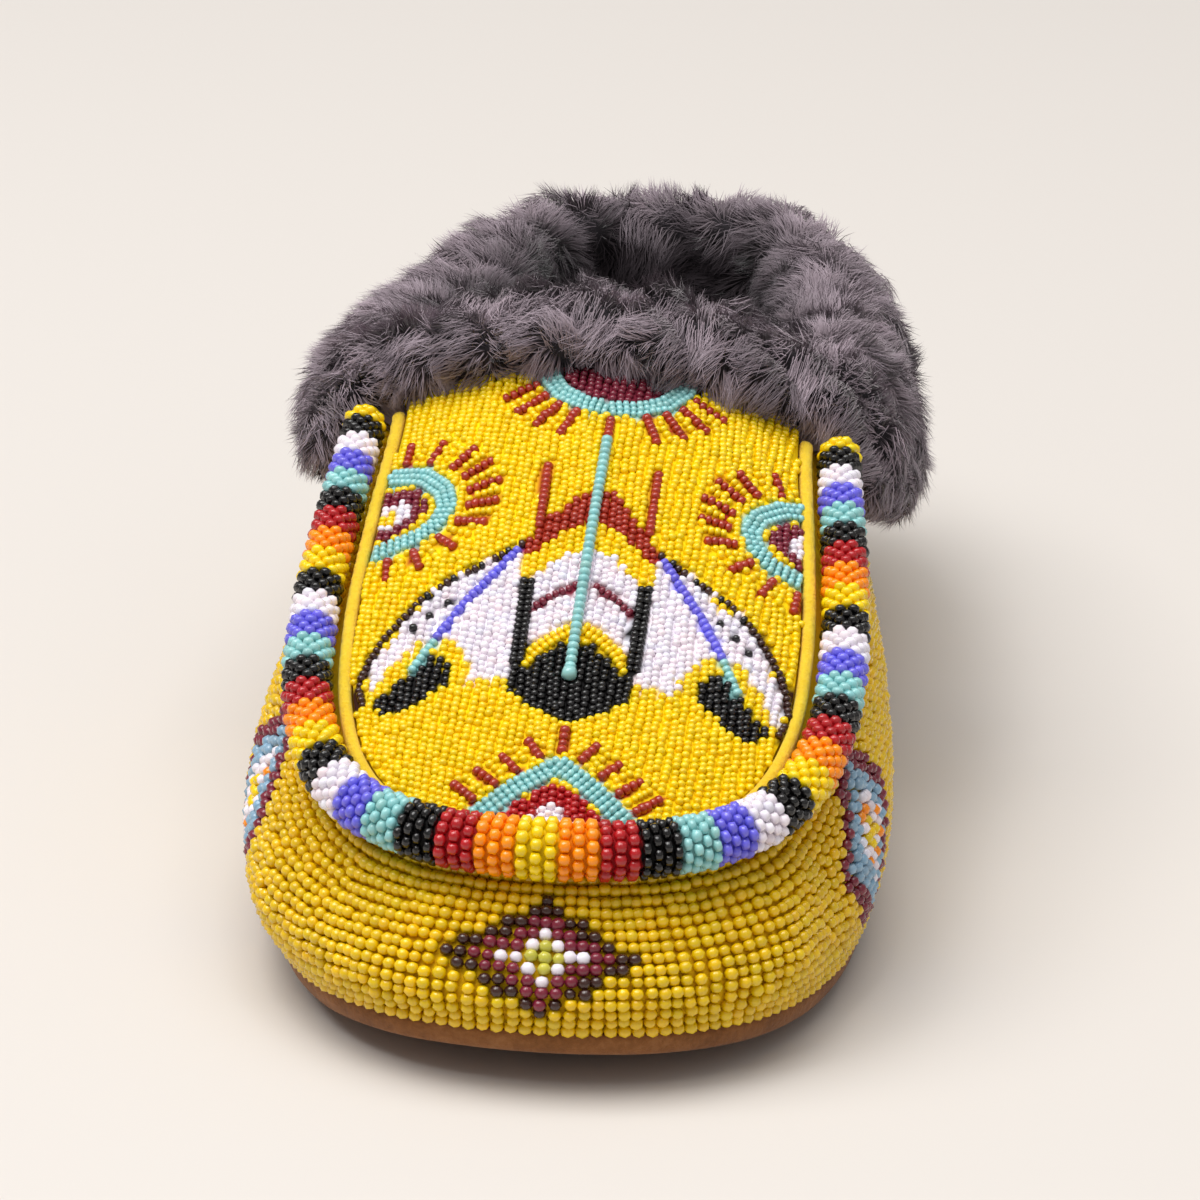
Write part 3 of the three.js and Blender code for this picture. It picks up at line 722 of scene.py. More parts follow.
around, share, arc, height, wallHeight = sideBeads().T
around = around + rng.normal(0, sideWork["stray"], len(around))
# wall beads start as the darkened yellow: painted shade for the wall's lesser light
colorNames = np.full(len(around), "gold", object)
charts = [(sideWork["toeDiamond"], sideWork["toeTones"])]
charts += [(spec, sideWork["sideTones"]) for spec in sideWork["sideDiamonds"]]
for spec, tones in charts:
    middle = arc[np.argmin(np.abs(arc - spec["arc"]))]
    u = (arc - middle) / spec["wide"]
    above = height - spec["share"] * wallHeight
    inMiddle = above[arc == middle]
    v = (above - inMiddle[np.argmin(np.abs(inMiddle))]) / spec["high"]
    near = (np.abs(u) + np.abs(v)) < tones[0][0]
    colorNames[near] = diamondColors(u[near], v[near], tones)
specks = (colorNames == "white") & (np.abs(arc) > sideWork["speckFrom"])
specks &= rng.random(len(arc)) < sideWork["speckShare"]
colorNames[specks] = "orange"
normal, upward = wallNormal(around, share)
sizes = beadSizes(sideWork, len(around))
sink = sideWork["sink"] + rng.normal(0, sideWork["depthStray"], len(around))
centers = wallPoint(around, share) - normal * sink[:, None]
colors = beadColors(colorNames)
axes = upward + rng.normal(0, sideWork["turnOff"], (len(around), 3))
sidePieces = []
for name, chosen in {
    "toeBeads": np.abs(arc) <= sideWork["toeReach"],
    "innerSideBeads": arc > sideWork["toeReach"],
    "outerSideBeads": arc < -sideWork["toeReach"],
}.items():
    cloud = [part[chosen] for part in (centers, axes, normal, sizes, colors)]
    sidePieces.append(beadPiece(name, *cloud, materials["sideBeads"], rings=sideWork["rings"]))

# One row of beads along the edge of the sole
edgeWork = {"share": 0.045, "radius": 1.14, "length": 0.9, "spread": 0.05, "sink": 0.6, "steps": 1360}


def edgeBeads():
    dense = np.linspace(0, 1, edgeWork["steps"], endpoint=False)
    line = wallPoint(dense, np.full_like(dense, edgeWork["share"]))
    lengths = runLengths(np.vstack([line, line[:1]]))
    count = int(round(lengths[-1] / sideWork["pitch"]))
    place = np.interp(np.arange(count) * lengths[-1] / count, lengths, np.append(dense, 1.0))
    level = np.full_like(place, edgeWork["share"])
    normal, upward = wallNormal(place, level)
    axis = upward + rng.normal(0, sideWork["turnOff"], normal.shape)
    sizes = beadSizes(edgeWork, count)
    centers = wallPoint(place, level) - normal * edgeWork["sink"]
    # the edge beads take the darkened wall yellow, which is painted shade
    return centers, axis, normal, sizes, beadColors(["gold"] * count)


sidePieces.append(beadPiece("soleEdgeBeads", *edgeBeads(), materials["sideBeads"], rings=sideWork["rings"]))
print("stage: side beads ready")


# Vamp chart in millimetres from the middle line; x is mirrored for the other half
vampWork = {
    "middle": 1.2,
    "inset": 4.1,
    "backRow": 8.6,
    "column": 1.2,
    "alongString": 1.08,
    "radius": 0.77,
    "length": 0.59,
    "height": 1.3,
    "backing": 1.12,
    "clear": 0.9,
    "beside": 1.06,
    "stringLift": 0.12,
    "spread": 0.05,
    "stray": 0.08,
    "turnOff": 0.12,
    "heightStray": 0.07,
    "betweenRays": (0.3, 0.7),
    "outlineSteps": 70,
    "backSteps": 30,
    # width, change along the string and from string to string, start
    "sways": [(0.34, 0.13, 0.3, 0), (0.3, 0.05, 0.2, 1), (0.13, 0.4, 2.1, 0)],
}
fields = [
    ("white", [(10.5, -58), (14, -59.5), (17, -61.5), (21, -63), (24.5, -65.5), (27, -69),
               (29.5, -72.5), (31, -76.5), (31, -80.5), (29.5, -82), (28, -78), (24, -73),
               (21.5, -73.5), (19, -74), (16, -79), (15.5, -82), (8.8, -81.5), (9, -66)]),
    ("yellow", [(21.5, -73), (24.3, -72.3), (28, -77), (30.2, -80.5), (28.7, -82.3), (25.5, -79.3),
                (22, -75.3), (19, -78.5), (16.5, -82), (15.6, -79.6), (19, -73.6)]),
    ("black", [(17.8, -81), (19.3, -78), (22, -75.3), (24.3, -78.3), (26.5, -80.5), (29.7, -83.2),
               (28, -86), (25.3, -86.5), (22.3, -84.3)]),
    ("rust", [(-1, -45.2), (2.8, -46.5), (4.7, -49.5), (7.3, -52), (9, -54.5), (11, -57.5),
              (9.5, -58.8), (7.5, -57), (4.5, -54.3), (-1, -52)]),
    ("yellow", [(-1, -52.3), (4, -54.3), (8.5, -57.5), (10, -60.5), (9, -63), (7.2, -62),
                (4, -58.7), (-1, -57.3)]),
    ("white", [(-1, -57.3), (4, -58.7), (7.2, -62), (8.4, -63), (8.3, -77.4), (5.4, -74.3), (-1, -70.8)]),
    ("black", [(-1, -74), (3, -75.4), (6, -78), (9.4, -80), (9.2, -84.2), (5.6, -87),
               (1.5, -89.6), (-1, -90)]),
    ("maroon", [(-1, -12), (10, -12), (9.8, -19), (7.6, -23.2), (4.2, -25.6), (-1, -26.6)]),
    ("red", [(-1, -100.4), (3.8, -103.2), (9.4, -107.8), (-1, -107.8)]),
    ("white", [(-1, -103.4), (4.2, -107.8), (-1, -107.8)]),
    ("maroon", [(36, -38), (31.5, -38.6), (27.6, -41.4), (26, -45.6), (28.4, -48), (32, -49.2), (36, -49.2)]),
    ("white", [(36, -41), (31, -41.5), (29, -44), (29.4, -46), (32, -46.8), (36, -46.8)]),
    ("yellow", [(36, -43), (32, -43), (31, -44.4), (32, -45.6), (36, -45.6)]),
]
# colour, strings side by side, size of their beads, middle line
strings = [
    ("teal", 3, 1, [(11, -16), (10.5, -20.9), (8.1, -25), (4.5, -27.5), (0, -28.4)]),
    ("teal", 3, 1, [(33.5, -34.4), (27.9, -37.8), (24.4, -42.2), (23.3, -46.1), (24.7, -49.3), (27.2, -51.1),
                    (33.5, -51.5)]),
    ("teal", 3, 1, [(0, -97.9), (5.7, -102), (11, -106.7)]),
    ("black", 2, 1, [(8.9, -63.6), (8.9, -68), (8.8, -73), (8.7, -78.4)]),
    ("rust", 1, 1.2, [(8.5, -41), (8.4, -47), (8.4, -53)]),
    ("yellow", 2, 1, [(0.8, -72.3), (3.2, -73.7), (5.9, -76.2), (7.8, -78.8)]),
    ("maroon", 1, 1, [(1.6, -64.3), (3.4, -65.4), (5.1, -66.6), (7, -68.2)]),
    ("blue", 1, 1.15, [(11.2, -57.8), (13.4, -60.8), (15.5, -63.5), (18, -66.7), (20, -70), (21.4, -72.4)]),
    ("teal", 1, 1.15, [(21.9, -73.4), (23.1, -75.6), (24.4, -78)]),
    ("outline", 1, 1, [(10.6, -56.6), (14, -58.6), (17.3, -60.4), (21.2, -62), (24.8, -64.4), (27.8, -68),
                       (30.3, -71.8), (31.9, -76), (32.3, -79.6), (31.2, -83)]),
]
dots = [("black", [(20.6, -66.2), (23.2, -68), (25.4, -69.8)])]
outlineTones = ("brown", "white", "black", "brown")
raySize = 1.2
speckled = 16
sideRays = [
    [(31, -29), (31.4, -32.4)], [(25.8, -31.3), (27.2, -34.8)], [(20.6, -34.8), (23.5, -37.7)],
    [(17.6, -38.4), (21.3, -40.4)], [(15.8, -42.8), (20.2, -43.7)], [(15.8, -47), (19.9, -47)],
    [(17.2, -51.2), (21.1, -50)], [(21.4, -55), (23.8, -52.5)], [(26.2, -57.4), (27.5, -54.1)],
    [(31.2, -58), (31.4, -54.5)],
]
lowRays = [
    [(5, -93.8), (3.2, -96.4)], [(8.6, -96.6), (6.4, -99)],
    [(12, -99), (9.2, -101.5)], [(15, -101.4), (12, -104)],
]
middleRays = [[(0, -91.3), (0, -95)], [(0, -36.2), (0, -31)]]
topFan = {
    "count": 4, "centre": (0.0, -17.5), "inner": (13.4, 13.0), "outer": (18.2, 18.2),
    "first": 22.0, "last": 66.0,
}


def fanRays():
    made = []
    x, y = topFan["centre"]
    for k in range(topFan["count"]):
        turn = topFan["first"] + (topFan["last"] - topFan["first"]) * k / (topFan["count"] - 1)
        turn = math.radians(turn)
        made.append([(x + wide * math.cos(turn), y - tall * math.sin(turn))
                     for wide, tall in (topFan["outer"], topFan["inner"])])
    return made


def vampStrings():
    points, tangents, names, scales = [], [], [], []

    def lay(name, line, side, width=1, scale=1.0):
        path = np.array([(vampWork["middle"] + side * x, y) for x, y in line], float)
        way = unit(np.gradient(path, axis=0))
        across = np.stack([way[:, 1], -way[:, 0]], -1)
        for j in range(width):
            aside = across * vampWork["beside"] * (j - (width - 1) / 2)
            beads = alongLine(path + aside, vampWork["alongString"])
            for k, (bead, ahead) in enumerate(zip(beads, np.gradient(beads, axis=0))):
                points.append(bead)
                tangents.append(ahead)
                scales.append(scale)
                tone = outlineTones[k % len(outlineTones)] if k < speckled else "brown"
                names.append(tone if name == "outline" else name)

    for name, width, scale, line in strings:
        for side in (1, -1):
            lay(name, line, side, width, scale)
    for group in (sideRays, lowRays, fanRays()):
        for line in group:
            for side in (1, -1):
                lay("rust", line, side, 1, raySize)
        for before, after in zip(group, group[1:]):
            far, near = (((a[0] + b[0]) / 2, (a[1] + b[1]) / 2) for a, b in zip(before, after))
            out, back = vampWork["betweenRays"]
            inner = tuple(a * out + b * back for a, b in zip(far, near))
            for side in (1, -1):
                lay("yellow", [far, inner], side)
    for line in middleRays:
        lay("rust", line, 1, 1, raySize)
    for name, places in dots:
        for side in (1, -1):
            for place in places:
                lay(name, [place, (place[0], place[1] - 0.1)], side)
    return np.array(points), np.array(tangents), np.array(names, object), np.array(scales)


def panelOutline(inset):
    rows = np.linspace(0, vampWork["backRow"], vampWork["outlineSteps"])
    ends = []
    for side in (1, -1):
        around = rowPlace(side, rows)
        ends.append(rimPoint(around)[:, :2] - edgePoint(around)[1] * inset)
    across = np.linspace(0.95, 0.05, vampWork["backSteps"])
    back = vampPoint(np.full_like(across, vampWork["backRow"]), across)[:, :2]
    return np.concatenate([ends[0], back, ends[1][::-1]])


def thinned(points, gap):
    kept = []
    for i, point in enumerate(points):
        if all((point[0] - points[j][0]) ** 2 + (point[1] - points[j][1]) ** 2 > gap * gap for j in kept):
            kept.append(i)
    return kept


def vampGround(outline, taken):
    low, high = outline.min(0), outline.max(0)
    points = []
    columns = np.arange(low[0], high[0], vampWork["column"])
    for k, x in enumerate(columns):
        y = np.arange(low[1], high[1], vampWork["alongString"]) + (0.5 * (k % 2)) * vampWork["alongString"]
        sway = sum(wide * np.sin(rate * y + shift * k + start)
                   for wide, rate, shift, start in vampWork["sways"])
        points.append(np.column_stack([x + sway, y]))
    points = np.concatenate(points)
    points = points + rng.normal(0, vampWork["stray"], points.shape)
    points = points[insidePolygon(points[:, 0], points[:, 1], outline)]
    free = np.ones(len(points), bool)
    for bead in taken:
        free &= np.sum((points - bead) ** 2, 1) > vampWork["clear"] ** 2
    return points[free]


def groundColors(points):
    names = np.full(len(points), "yellow", object)
    x, y = np.abs(points[:, 0] - vampWork["middle"]), points[:, 1]
    for name, corners in fields:
        names[insidePolygon(x, y, corners)] = name
    return names


def vampBeads():
    outline = panelOutline(vampWork["inset"])
    laid = vampStrings()
    inside = insidePolygon(laid[0][:, 0], laid[0][:, 1], outline)
    laid = [part[inside] for part in laid]
    keep = thinned(laid[0], vampWork["clear"])
    strung, ways, names, scales = (part[keep] for part in laid)
    ground = vampGround(outline, strung)
    plan = np.concatenate([strung, ground])
    upright = np.array([0.0, 1.0]) + rng.normal(0, vampWork["turnOff"], (len(ground), 2))
    way = np.concatenate([ways, upright])
    tones = np.concatenate([names, groundColors(ground)])
    surface, normal = vampPlace(plan)
    lift = vampWork["height"] + rng.normal(0, vampWork["heightStray"], len(plan))
    lift[: len(strung)] += vampWork["stringLift"]
    axis = np.column_stack([way, np.zeros(len(way))])
    axis = unit(axis - normal * np.sum(axis * normal, -1, keepdims=True))
    sizes = beadSizes(vampWork, len(plan))
    sizes[: len(strung)] *= scales[:, None]
    return surface + normal * lift[:, None], axis, normal, sizes, beadColors(tones)


vampCloud = vampBeads()
vampPiece = beadPiece("vampBeads", *vampCloud, materials["vampBeads"])

# Backing under the vamp beads, with a rim that closes it
backingEnd = 8.3
backingLow = 0.3
backingRows = np.linspace(0, backingEnd, 90)
backingAcross = np.linspace(0, 1, 61)


def backingSheet():
    rows = []
    for r in backingRows:
        ends = []
        for side in (-1, 1):
            place = rowPlace(side, np.array([r]))
            ends.append(rimPoint(place)[0, :2] - edgePoint(place)[1][0] * vampWork["inset"])
        line = ends[0] + (ends[1] - ends[0]) * backingAcross[:, None]
        arch = 1 - (2 * backingAcross - 1) ** 2
        line[:, 1] -= last["throatDip"] * arch * (r / last["throatRow"]) ** 3
        rows.append(line)
    return vampPlace(np.concatenate(rows))


backingPoints, backingNormals = backingSheet()
backingFaces = gridFaces(len(backingRows), len(backingAcross))
backingSheets = np.concatenate([
    backingPoints + backingNormals * vampWork["backing"], backingPoints + backingNormals * backingLow,
])
count, columns = len(backingPoints), len(backingAcross)
rim = [r * columns for r in range(len(backingRows))][::-1]
rim += list(range(1, columns))
rim += [r * columns + columns - 1 for r in range(1, len(backingRows))]
rim += list(range(count - 2, count - columns, -1))
backingFaces += [tuple(v + count for v in face[::-1]) for face in backingFaces]
backingFaces += [(a + count, b + count, b, a) for a, b in zip(rim, rim[1:] + rim[:1])]
backing = meshPiece("vampBacking", backingSheets, backingFaces, materials["ground"])
tintLike(backing, backingSheets, vampCloud[0], vampCloud[4], 1.0)

# Raised teal string down the middle, with a bigger bead at its end
middleLine = {
    "top": -36.5, "low": -82.0, "pitch": 1.25, "radius": 1.05, "length": 0.66, "height": 2.55,
    "endBead": (1.35, 1.35, 1.2), "sway": 0.5, "swayLength": 30.0,
}


def middleString():
    y = np.arange(middleLine["top"], middleLine["low"], -middleLine["pitch"])
    x = vampWork["middle"] + middleLine["sway"] * np.sin((y - middleLine["top"]) / middleLine["swayLength"])
    surface, normal = vampPlace(np.column_stack([x, y]))
    points = surface + normal * middleLine["height"]
    axis = np.gradient(points, axis=0)
    sizes = beadSizes(middleLine, len(y))
    sizes[-1] = middleLine["endBead"]
    return points, axis, normal, sizes, beadColors(["teal"] * len(y))


middlePiece = beadPiece("middleString", *middleString(), materials["vampBeads"])
print("stage: vamp ready")


# Binding: a smooth strip between vamp beads and rope
binding = {
    "inner": 3.8, "outer": 2.0, "height": 2.25, "endRow": 8.15, "steps": 420,
    "ripple": 0.13, "rippleRate": 1.9, "rippleFrom": 0.9,
    # share of the width, share of the height
    "profile": [(0.0, 0.3), (0.0, 0.72), (0.2, 0.93), (0.5, 1.0), (0.8, 0.93), (1.0, 0.72), (1.0, 0.3)],
}


def seamPlaces(endRow, steps):
    rows = np.linspace(-endRow, endRow, steps)
    return np.where(rows >= 0, rowPlace(1, np.abs(rows)), rowPlace(-1, np.abs(rows))), np.abs(rows) / endRow


def bindingPiece():
    places, _ = seamPlaces(binding["endRow"], binding["steps"])
    rim = rimPoint(places)[:, :2]
    out = edgePoint(places)[1]
    lines = []
    for share, high in binding["profile"]:
        inset = binding["inner"] + (binding["outer"] - binding["inner"]) * share
        surface, normal = vampPlace(rim - out * inset)
        wave = binding["ripple"] * np.sin(np.arange(len(rim)) * binding["rippleRate"])
        wave = wave * (high > binding["rippleFrom"])
        lines.append(surface + normal * (binding["height"] * high + wave)[:, None])
    points = np.stack(lines, 1)
    faces = [face[::-1] for face in tubeFaces(*points.shape[:2])]
    return meshPiece("bindingStrip", points.reshape(-1, 3), faces, materials["binding"])


bindingStrip = bindingPiece()


# Rope: rings of beads round a core, in bands that repeat from the toe's middle
rope = {
    "frontRadius": 4.9,
    "endRadius": 3.7,
    "endRow": 8.1,
    "seat": 0.63,
    "beadRadius": 1.12,
    "beadSink": 0.95,
    "beadOverlap": 0.54,
    "across": 1.95,
    "frontStretch": 0.13,
    "endGap": 0.5,
    "endSize": 0.72,
    "sizeStray": 0.04,
    "depthStray": 0.06,
    "turnOff": 0.1,
    "pathSteps": 900,
    "coreSink": 1.2,
    "coreSides": 16,
    "coreSteps": 300,
    "coreDim": 0.7,
    "bands": ["yellow", "orange", "red", "black", "teal", "blue", "white", "black"],
    "repeats": 3,
    "wideBands": 3,
    "ringsWide": 3,
    "ringsNarrow": 4,
    "endBand": 0.75,
}


def ropeRings():
    made = []
    for band in range(len(rope["bands"]) * rope["repeats"] + 1):
        rings = rope["ringsWide"] if band < rope["wideBands"] else rope["ringsNarrow"]
        for ring in range(rings):
            place = band - 0.5 + (ring + 0.5) / rings
            made.append((place, rings, rope["bands"][band % len(rope["bands"])]))
    reach = len(rope["bands"]) * rope["repeats"] - 0.5 + rope["endBand"]
    half = [ring for ring in made if 0 < ring[0] < reach]
    return [(-place, rings, tone) for place, rings, tone in half[::-1]] + [made[1]] + half, reach


def ropePath():
    places, share = seamPlaces(rope["endRow"], rope["pathSteps"])
    radius = rope["frontRadius"] + (rope["endRadius"] - rope["frontRadius"]) * share
    out = edgePoint(places)[1]
    lean = unit(np.column_stack([out, np.ones(len(out))]))
    middle = rimPoint(places) + lean * (radius + rope["seat"])[:, None]
    lengths = runLengths(middle)
    return middle, radius, lengths - lengths[len(lengths) // 2]


def ropeFrames(middle):
    along = unit(np.gradient(middle, axis=0))
    up = unit(np.array([0.0, 0.0, 1.0]) - along * along[:, 2:3])
    return along, up, np.cross(along, up)


def ropePieces():
    middle, radius, lengths = ropePath()
    along, up, beside = ropeFrames(middle)
    rings, end = ropeRings()
    centers, axes, outs, names, sizes = [], [], [], [], []
    for step, (place, inBand, tone) in enumerate(rings):
        reach = abs(lengths[-1] if place > 0 else lengths[0]) - rope["endGap"]
        share = abs(place) / end
        pitch = reach / end / inBand * (1 + rope["frontStretch"] * (1 - 2 * share))
        at = math.copysign(reach * share * (1 + rope["frontStretch"] * (1 - share)), place)
        frameAt = [np.array([np.interp(at, lengths, source[:, i]) for i in range(3)])
                   for source in (middle, along, up, beside)]
        size = np.interp(at, lengths, radius) - rope["beadRadius"] * rope["beadSink"]
        if step in (0, len(rings) - 1):
            size *= rope["endSize"]
        count = int(round(2 * math.pi * size / rope["across"]))
        for j in range(count):
            turn = 2 * math.pi * (j + 0.5 * (step % 2)) / count
            away = frameAt[2] * math.cos(turn) + frameAt[3] * math.sin(turn)
            scale = rng.normal(1, rope["sizeStray"])
            centers.append(frameAt[0] + away * (size + rng.normal(0, rope["depthStray"])))
            axes.append(frameAt[1] + rng.normal(0, rope["turnOff"], 3))
            outs.append(away)
            names.append(tone)
            wide = rope["beadRadius"] * scale
            sizes.append((wide, wide, pitch * rope["beadOverlap"] * scale))
    tints = beadColors(names)
    centers, axes, outs, sizes = (np.array(part) for part in (centers, axes, outs, sizes))
    beads = beadPiece("ropeBeads", centers, axes, outs, sizes, tints, materials["ropeBeads"])
    picks = np.linspace(0, len(middle) - 1, rope["coreSteps"]).astype(int)
    turns = np.linspace(0, 2 * math.pi, rope["coreSides"], endpoint=False)[None, :, None]
    core = (radius[picks] - rope["coreSink"] * rope["beadRadius"])[:, None, None]
    ring = up[picks][:, None] * np.cos(turns) + beside[picks][:, None] * np.sin(turns)
    points = (middle[picks][:, None] + ring * core).reshape(-1, 3)
    cord = meshPiece("ropeCore", points, tubeFaces(len(picks), rope["coreSides"]), materials["ground"])
    tintLike(cord, points, centers, tints, rope["coreDim"])
    return beads, cord


ropeBeads, ropeCore = ropePieces()
print("stage: rope ready")


# Sole and insole: pads from rings that run in from the edge
pads = {
    "spineFront": 46.0,
    "spineBack": 36.0,
    "steps": 272,
    "deepest": 0.9,
    "puckers": 146,
    "puckerInset": 4.6,
    "puckerReach": 1.6,
    "puckerEnd": 12.0,
    "puckerTop": 2.7,
    "fuzzEnd": 26.0,
    "fuzzLow": 6.0,
    # inset from the edge, height over the flat underside
    "outsole": [
        (26, 5.0), (14, 5.0), (5, 5.0), (1.6, 5.0), (0.9, 5.6), (0.25, 6.1), (-0.25, 5.9), (-0.45, 5.0),
        (-0.3, 4.0), (0, 3.1), (0.3, 2.6), (0.9, 2.4), (2.4, 2.15), (4.1, 1.95), (4.6, 2.2), (5, 2.5),
        (5.4, 2.15), (5.9, 1.7), (7.5, 1.05), (10, 0.5), (12.5, 0.12), (15, 0), (20, 0), (26, 0),
    ],
    "insole": [
        (26, 8.65), (16, 8.65), (9, 8.6), (6.4, 8.4), (4.8, 7.9), (3.6, 7.4), (3.2, 6.6), (3.2, 5.5),
        (10, 5.45), (26, 5.45),
    ],
}


def onSpine(y):
    return np.clip(y, last["toeTip"] + pads["spineFront"], -last["toeTip"] - pads["spineBack"])


def padPoint(around, inset):
    point, _ = edgePoint(around)
    spine = np.zeros_like(point)
    spine[:, 1] = onSpine(point[:, 1])
    way = spine - point
    reach = np.linalg.norm(way, axis=1, keepdims=True)
    return point + way * np.minimum(inset, reach * pads["deepest"]) / reach


def padSpine(around, height):
    y = edgePoint(around)[0][:, 1]
    y = onSpine((y + np.roll(y[::-1], 1)) / 2)
    return np.column_stack([np.zeros_like(y), y, springAt(y - last["toeTip"]) + height])


def padPiece(name, rings, material, pucker=0.0, fuzz=0.0):
    around = np.arange(pads["steps"]) / pads["steps"]
    rows = [padSpine(around, rings[0][1])]
    for inset, height in rings:
        point = padPoint(around, inset)
        z = springAt(point[:, 1] - last["toeTip"]) + height
        if pucker and 0 < inset < pads["puckerEnd"] and height < pads["puckerTop"]:
            fade = math.exp(-((inset - pads["puckerInset"]) / pads["puckerReach"]) ** 2)
            z = z + pucker * np.sin(around * 2 * math.pi * pads["puckers"]) * fade
        if fuzz and inset < pads["fuzzEnd"] and height > pads["fuzzLow"]:
            z = z + fuzz * rng.normal(0, 1, len(z))
        rows.append(np.column_stack([point, z]))
    rows.append(padSpine(around, rings[-1][1]))
    points, faces = mergedSheet(np.concatenate(rows), gridFaces(len(rows), len(around), closedColumns=True))
    return meshPiece(name, points, [face[::-1] for face in faces], material)


sole = padPiece("suedeSole", pads["outsole"], materials["suede"], pucker=0.12)
insole = padPiece("fleeceInsole", pads["insole"], materials["fleece"], fuzz=0.12)

# Stitches of the sole seam
stitch = {"inset": 5.0, "pitch": 4.45, "length": 1.62, "radius": 0.36, "height": 2.28}


def soleStitches():
    dense = np.linspace(0, 1, edgeWork["steps"], endpoint=False)
    line = padPoint(dense, stitch["inset"])
    z = springAt(line[:, 1] - last["toeTip"]) + stitch["height"]
    beads = alongLine(np.column_stack([line, z]), stitch["pitch"], closed=True)
    axis = np.roll(beads, -1, axis=0) - np.roll(beads, 1, axis=0)
    out = np.tile([0.0, 0.0, -1.0], (len(beads), 1))
    return beads, axis, out, beadSizes(stitch, len(beads)), np.ones((len(beads), 3))


# The thread takes its colour from its material
stitchPiece = beadPiece("soleStitches", *soleStitches(), materials["thread"])
stitchPiece.data.attributes.remove(stitchPiece.data.attributes["beadColor"])
print("stage: sole ready")


# Lining inside the upper
lining = {"gap": 0.25, "thick": 1.6, "fuzz": 0.16}
liningTop = last["upperWall"] + lining["gap"]
liningPoints, liningFaces = shellOf(sheetPoints, sheetFaces, liningTop, liningTop + lining["thick"])
half = len(sheetPoints)
liningPoints[half:] += rng.normal(0, lining["fuzz"], (len(liningPoints) - half, 3))
liningPiece = meshPiece("fleeceLining", liningPoints, liningFaces, materials["fleece"])


# Fur collar: a dark skin folded over the rim, with locks of fine hair rooted in it
fur = {
    "top": 9.5,
    "gap": 0.7,
    "throatSteps": 12,
    "corners": (20.0, 45.0, 70.0),
    "cornerReach": 6.0,
    "rowLength": 20.0,
    "skin": 0.82,
    "skinWall": 0.6,
    "hemLift": 1.2,
    "throatLift": 2.4,
    "lumps": 0.9,
    "lumpLength": 7.5,
    "around": 320,
    "over": 34,
    "seed": 12,
    "hairs": 172000,
    "locks": 1900,
    "length": 6.2,
    "width": 0.09,
    "hem": 0.14,
    "hemLength": 0.5,
    "waves": 8,
    "waveLength": 11.0,
    "waveDepth": 0.3,
    "comb": (-0.26, 0.0, 0.0),
    "stand": 0.34,
    "lie": 0.6,
    "turnOff": 0.2,
    "lockLengths": (0.75, 1.2),
    "hairLengths": (0.65, 1.1),
    "pulls": (0.1, 0.65),
    "hairTint": 0.06,
    "lockTint": 0.09,
    "patchTint": 0.13,
    "insideFrom": 0.62,
    "insideOver": 0.2,
    # painted shade on the hair inside the collar: its strength and where it starts and ends
    "paintedInnerShade": 0.82,
    "shadeFrom": 0.67,
    "shadeOver": 0.13,
    "rootDepth": 0.4,
    # hair colour at the root, the two middle corners and the tip: the dark root and light tip are partly the
    # fur's own colour, partly painted shade deep in the pile and painted highlight on the tips
    "tones": [(80, 69, 75), (128, 114, 122), (128, 114, 122), (168, 154, 164)],
}
furRng = np.random.default_rng(fur["seed"])


def throatPlace(across):
    throat = furRows[0]

    def at(below):
        return vampPoint(np.array([last["throatRow"] - below / fur["rowLength"]]), np.array([across]))[0]

    return {
        "drop": throat[2] + (throat[1] - throat[2]) * across, "pile": throat[3],
        "lined": throat[4], "lining": throat[5],
        "corner": across in (0.0, 1.0), "lift": 1 - (2 * across - 1) ** 2, "at": at,
    }


def sidePlace(side, row, turn=90.0):
    station = edgePoint(np.array([rowPlace(side, row)]))[0][0, 1] - last["toeTip"]
    tall = tableColumn(last["wall"], 1, np.array([station]))[0] - featherHeight(station)
    forward = math.cos(math.radians(turn)) / fur["rowLength"]
    down = math.sin(math.radians(turn)) / tall
    inner, outer, pile, lined, thick = (tableColumn(furRows, c, np.array([station]))[0] for c in range(1, 6))

    def at(below):
        return wallPoint(np.array([rowPlace(side, row - forward * below)]), np.array([1 - down * below]))[0]

    return {
        "drop": inner if side > 0 else outer, "pile": pile, "lined": lined, "lining": thick,
        "corner": turn < 90, "lift": 0.0, "at": at,
    }


def collarPlaces():
    back = [k / 2 for k in range(int(last["throatRow"] * 2) + 1, rowCount * 2)]
    made = [throatPlace(k / fur["throatSteps"]) for k in range(fur["throatSteps"] + 1)]
    made += [sidePlace(1, last["throatRow"], turn) for turn in fur["corners"]]
    made += [sidePlace(1, row) for row in back + [rowCount]]
    made += [sidePlace(-1, row) for row in back[::-1]]
    made += [sidePlace(-1, last["throatRow"], turn) for turn in fur["corners"][::-1]]
    innerBend, outerBend = fur["throatSteps"] + 2, len(made) - 2
    for i, place in enumerate(made):
        bend = innerBend if 0 < i < len(made) / 2 else outerBend
        place["inside"] = bend if place["corner"] else i
    return made


def alongCollar(places, i, below):
    start = max(below, fur["cornerReach"]) if places[i]["corner"] else below
    return places[(i + 1) % len(places)]["at"](start) - places[i - 1]["at"](start)


def besideUpper(places, i, below, distance):
    start = max(below, fur["cornerReach"]) if places[i]["corner"] else below
    fall = places[i]["at"](start + 1) - places[i]["at"](max(start - 1, 0))
    return places[i]["at"](below) + unit(np.cross(fall, alongCollar(places, i, below))) * distance


def overRim(places, i, rise, distance):
    along = alongCollar(places, i, 0)
    level = unit(np.array([along[1], -along[0], 0.0]))
    return places[i]["at"](0) + level * distance + np.array([0, 0, rise])


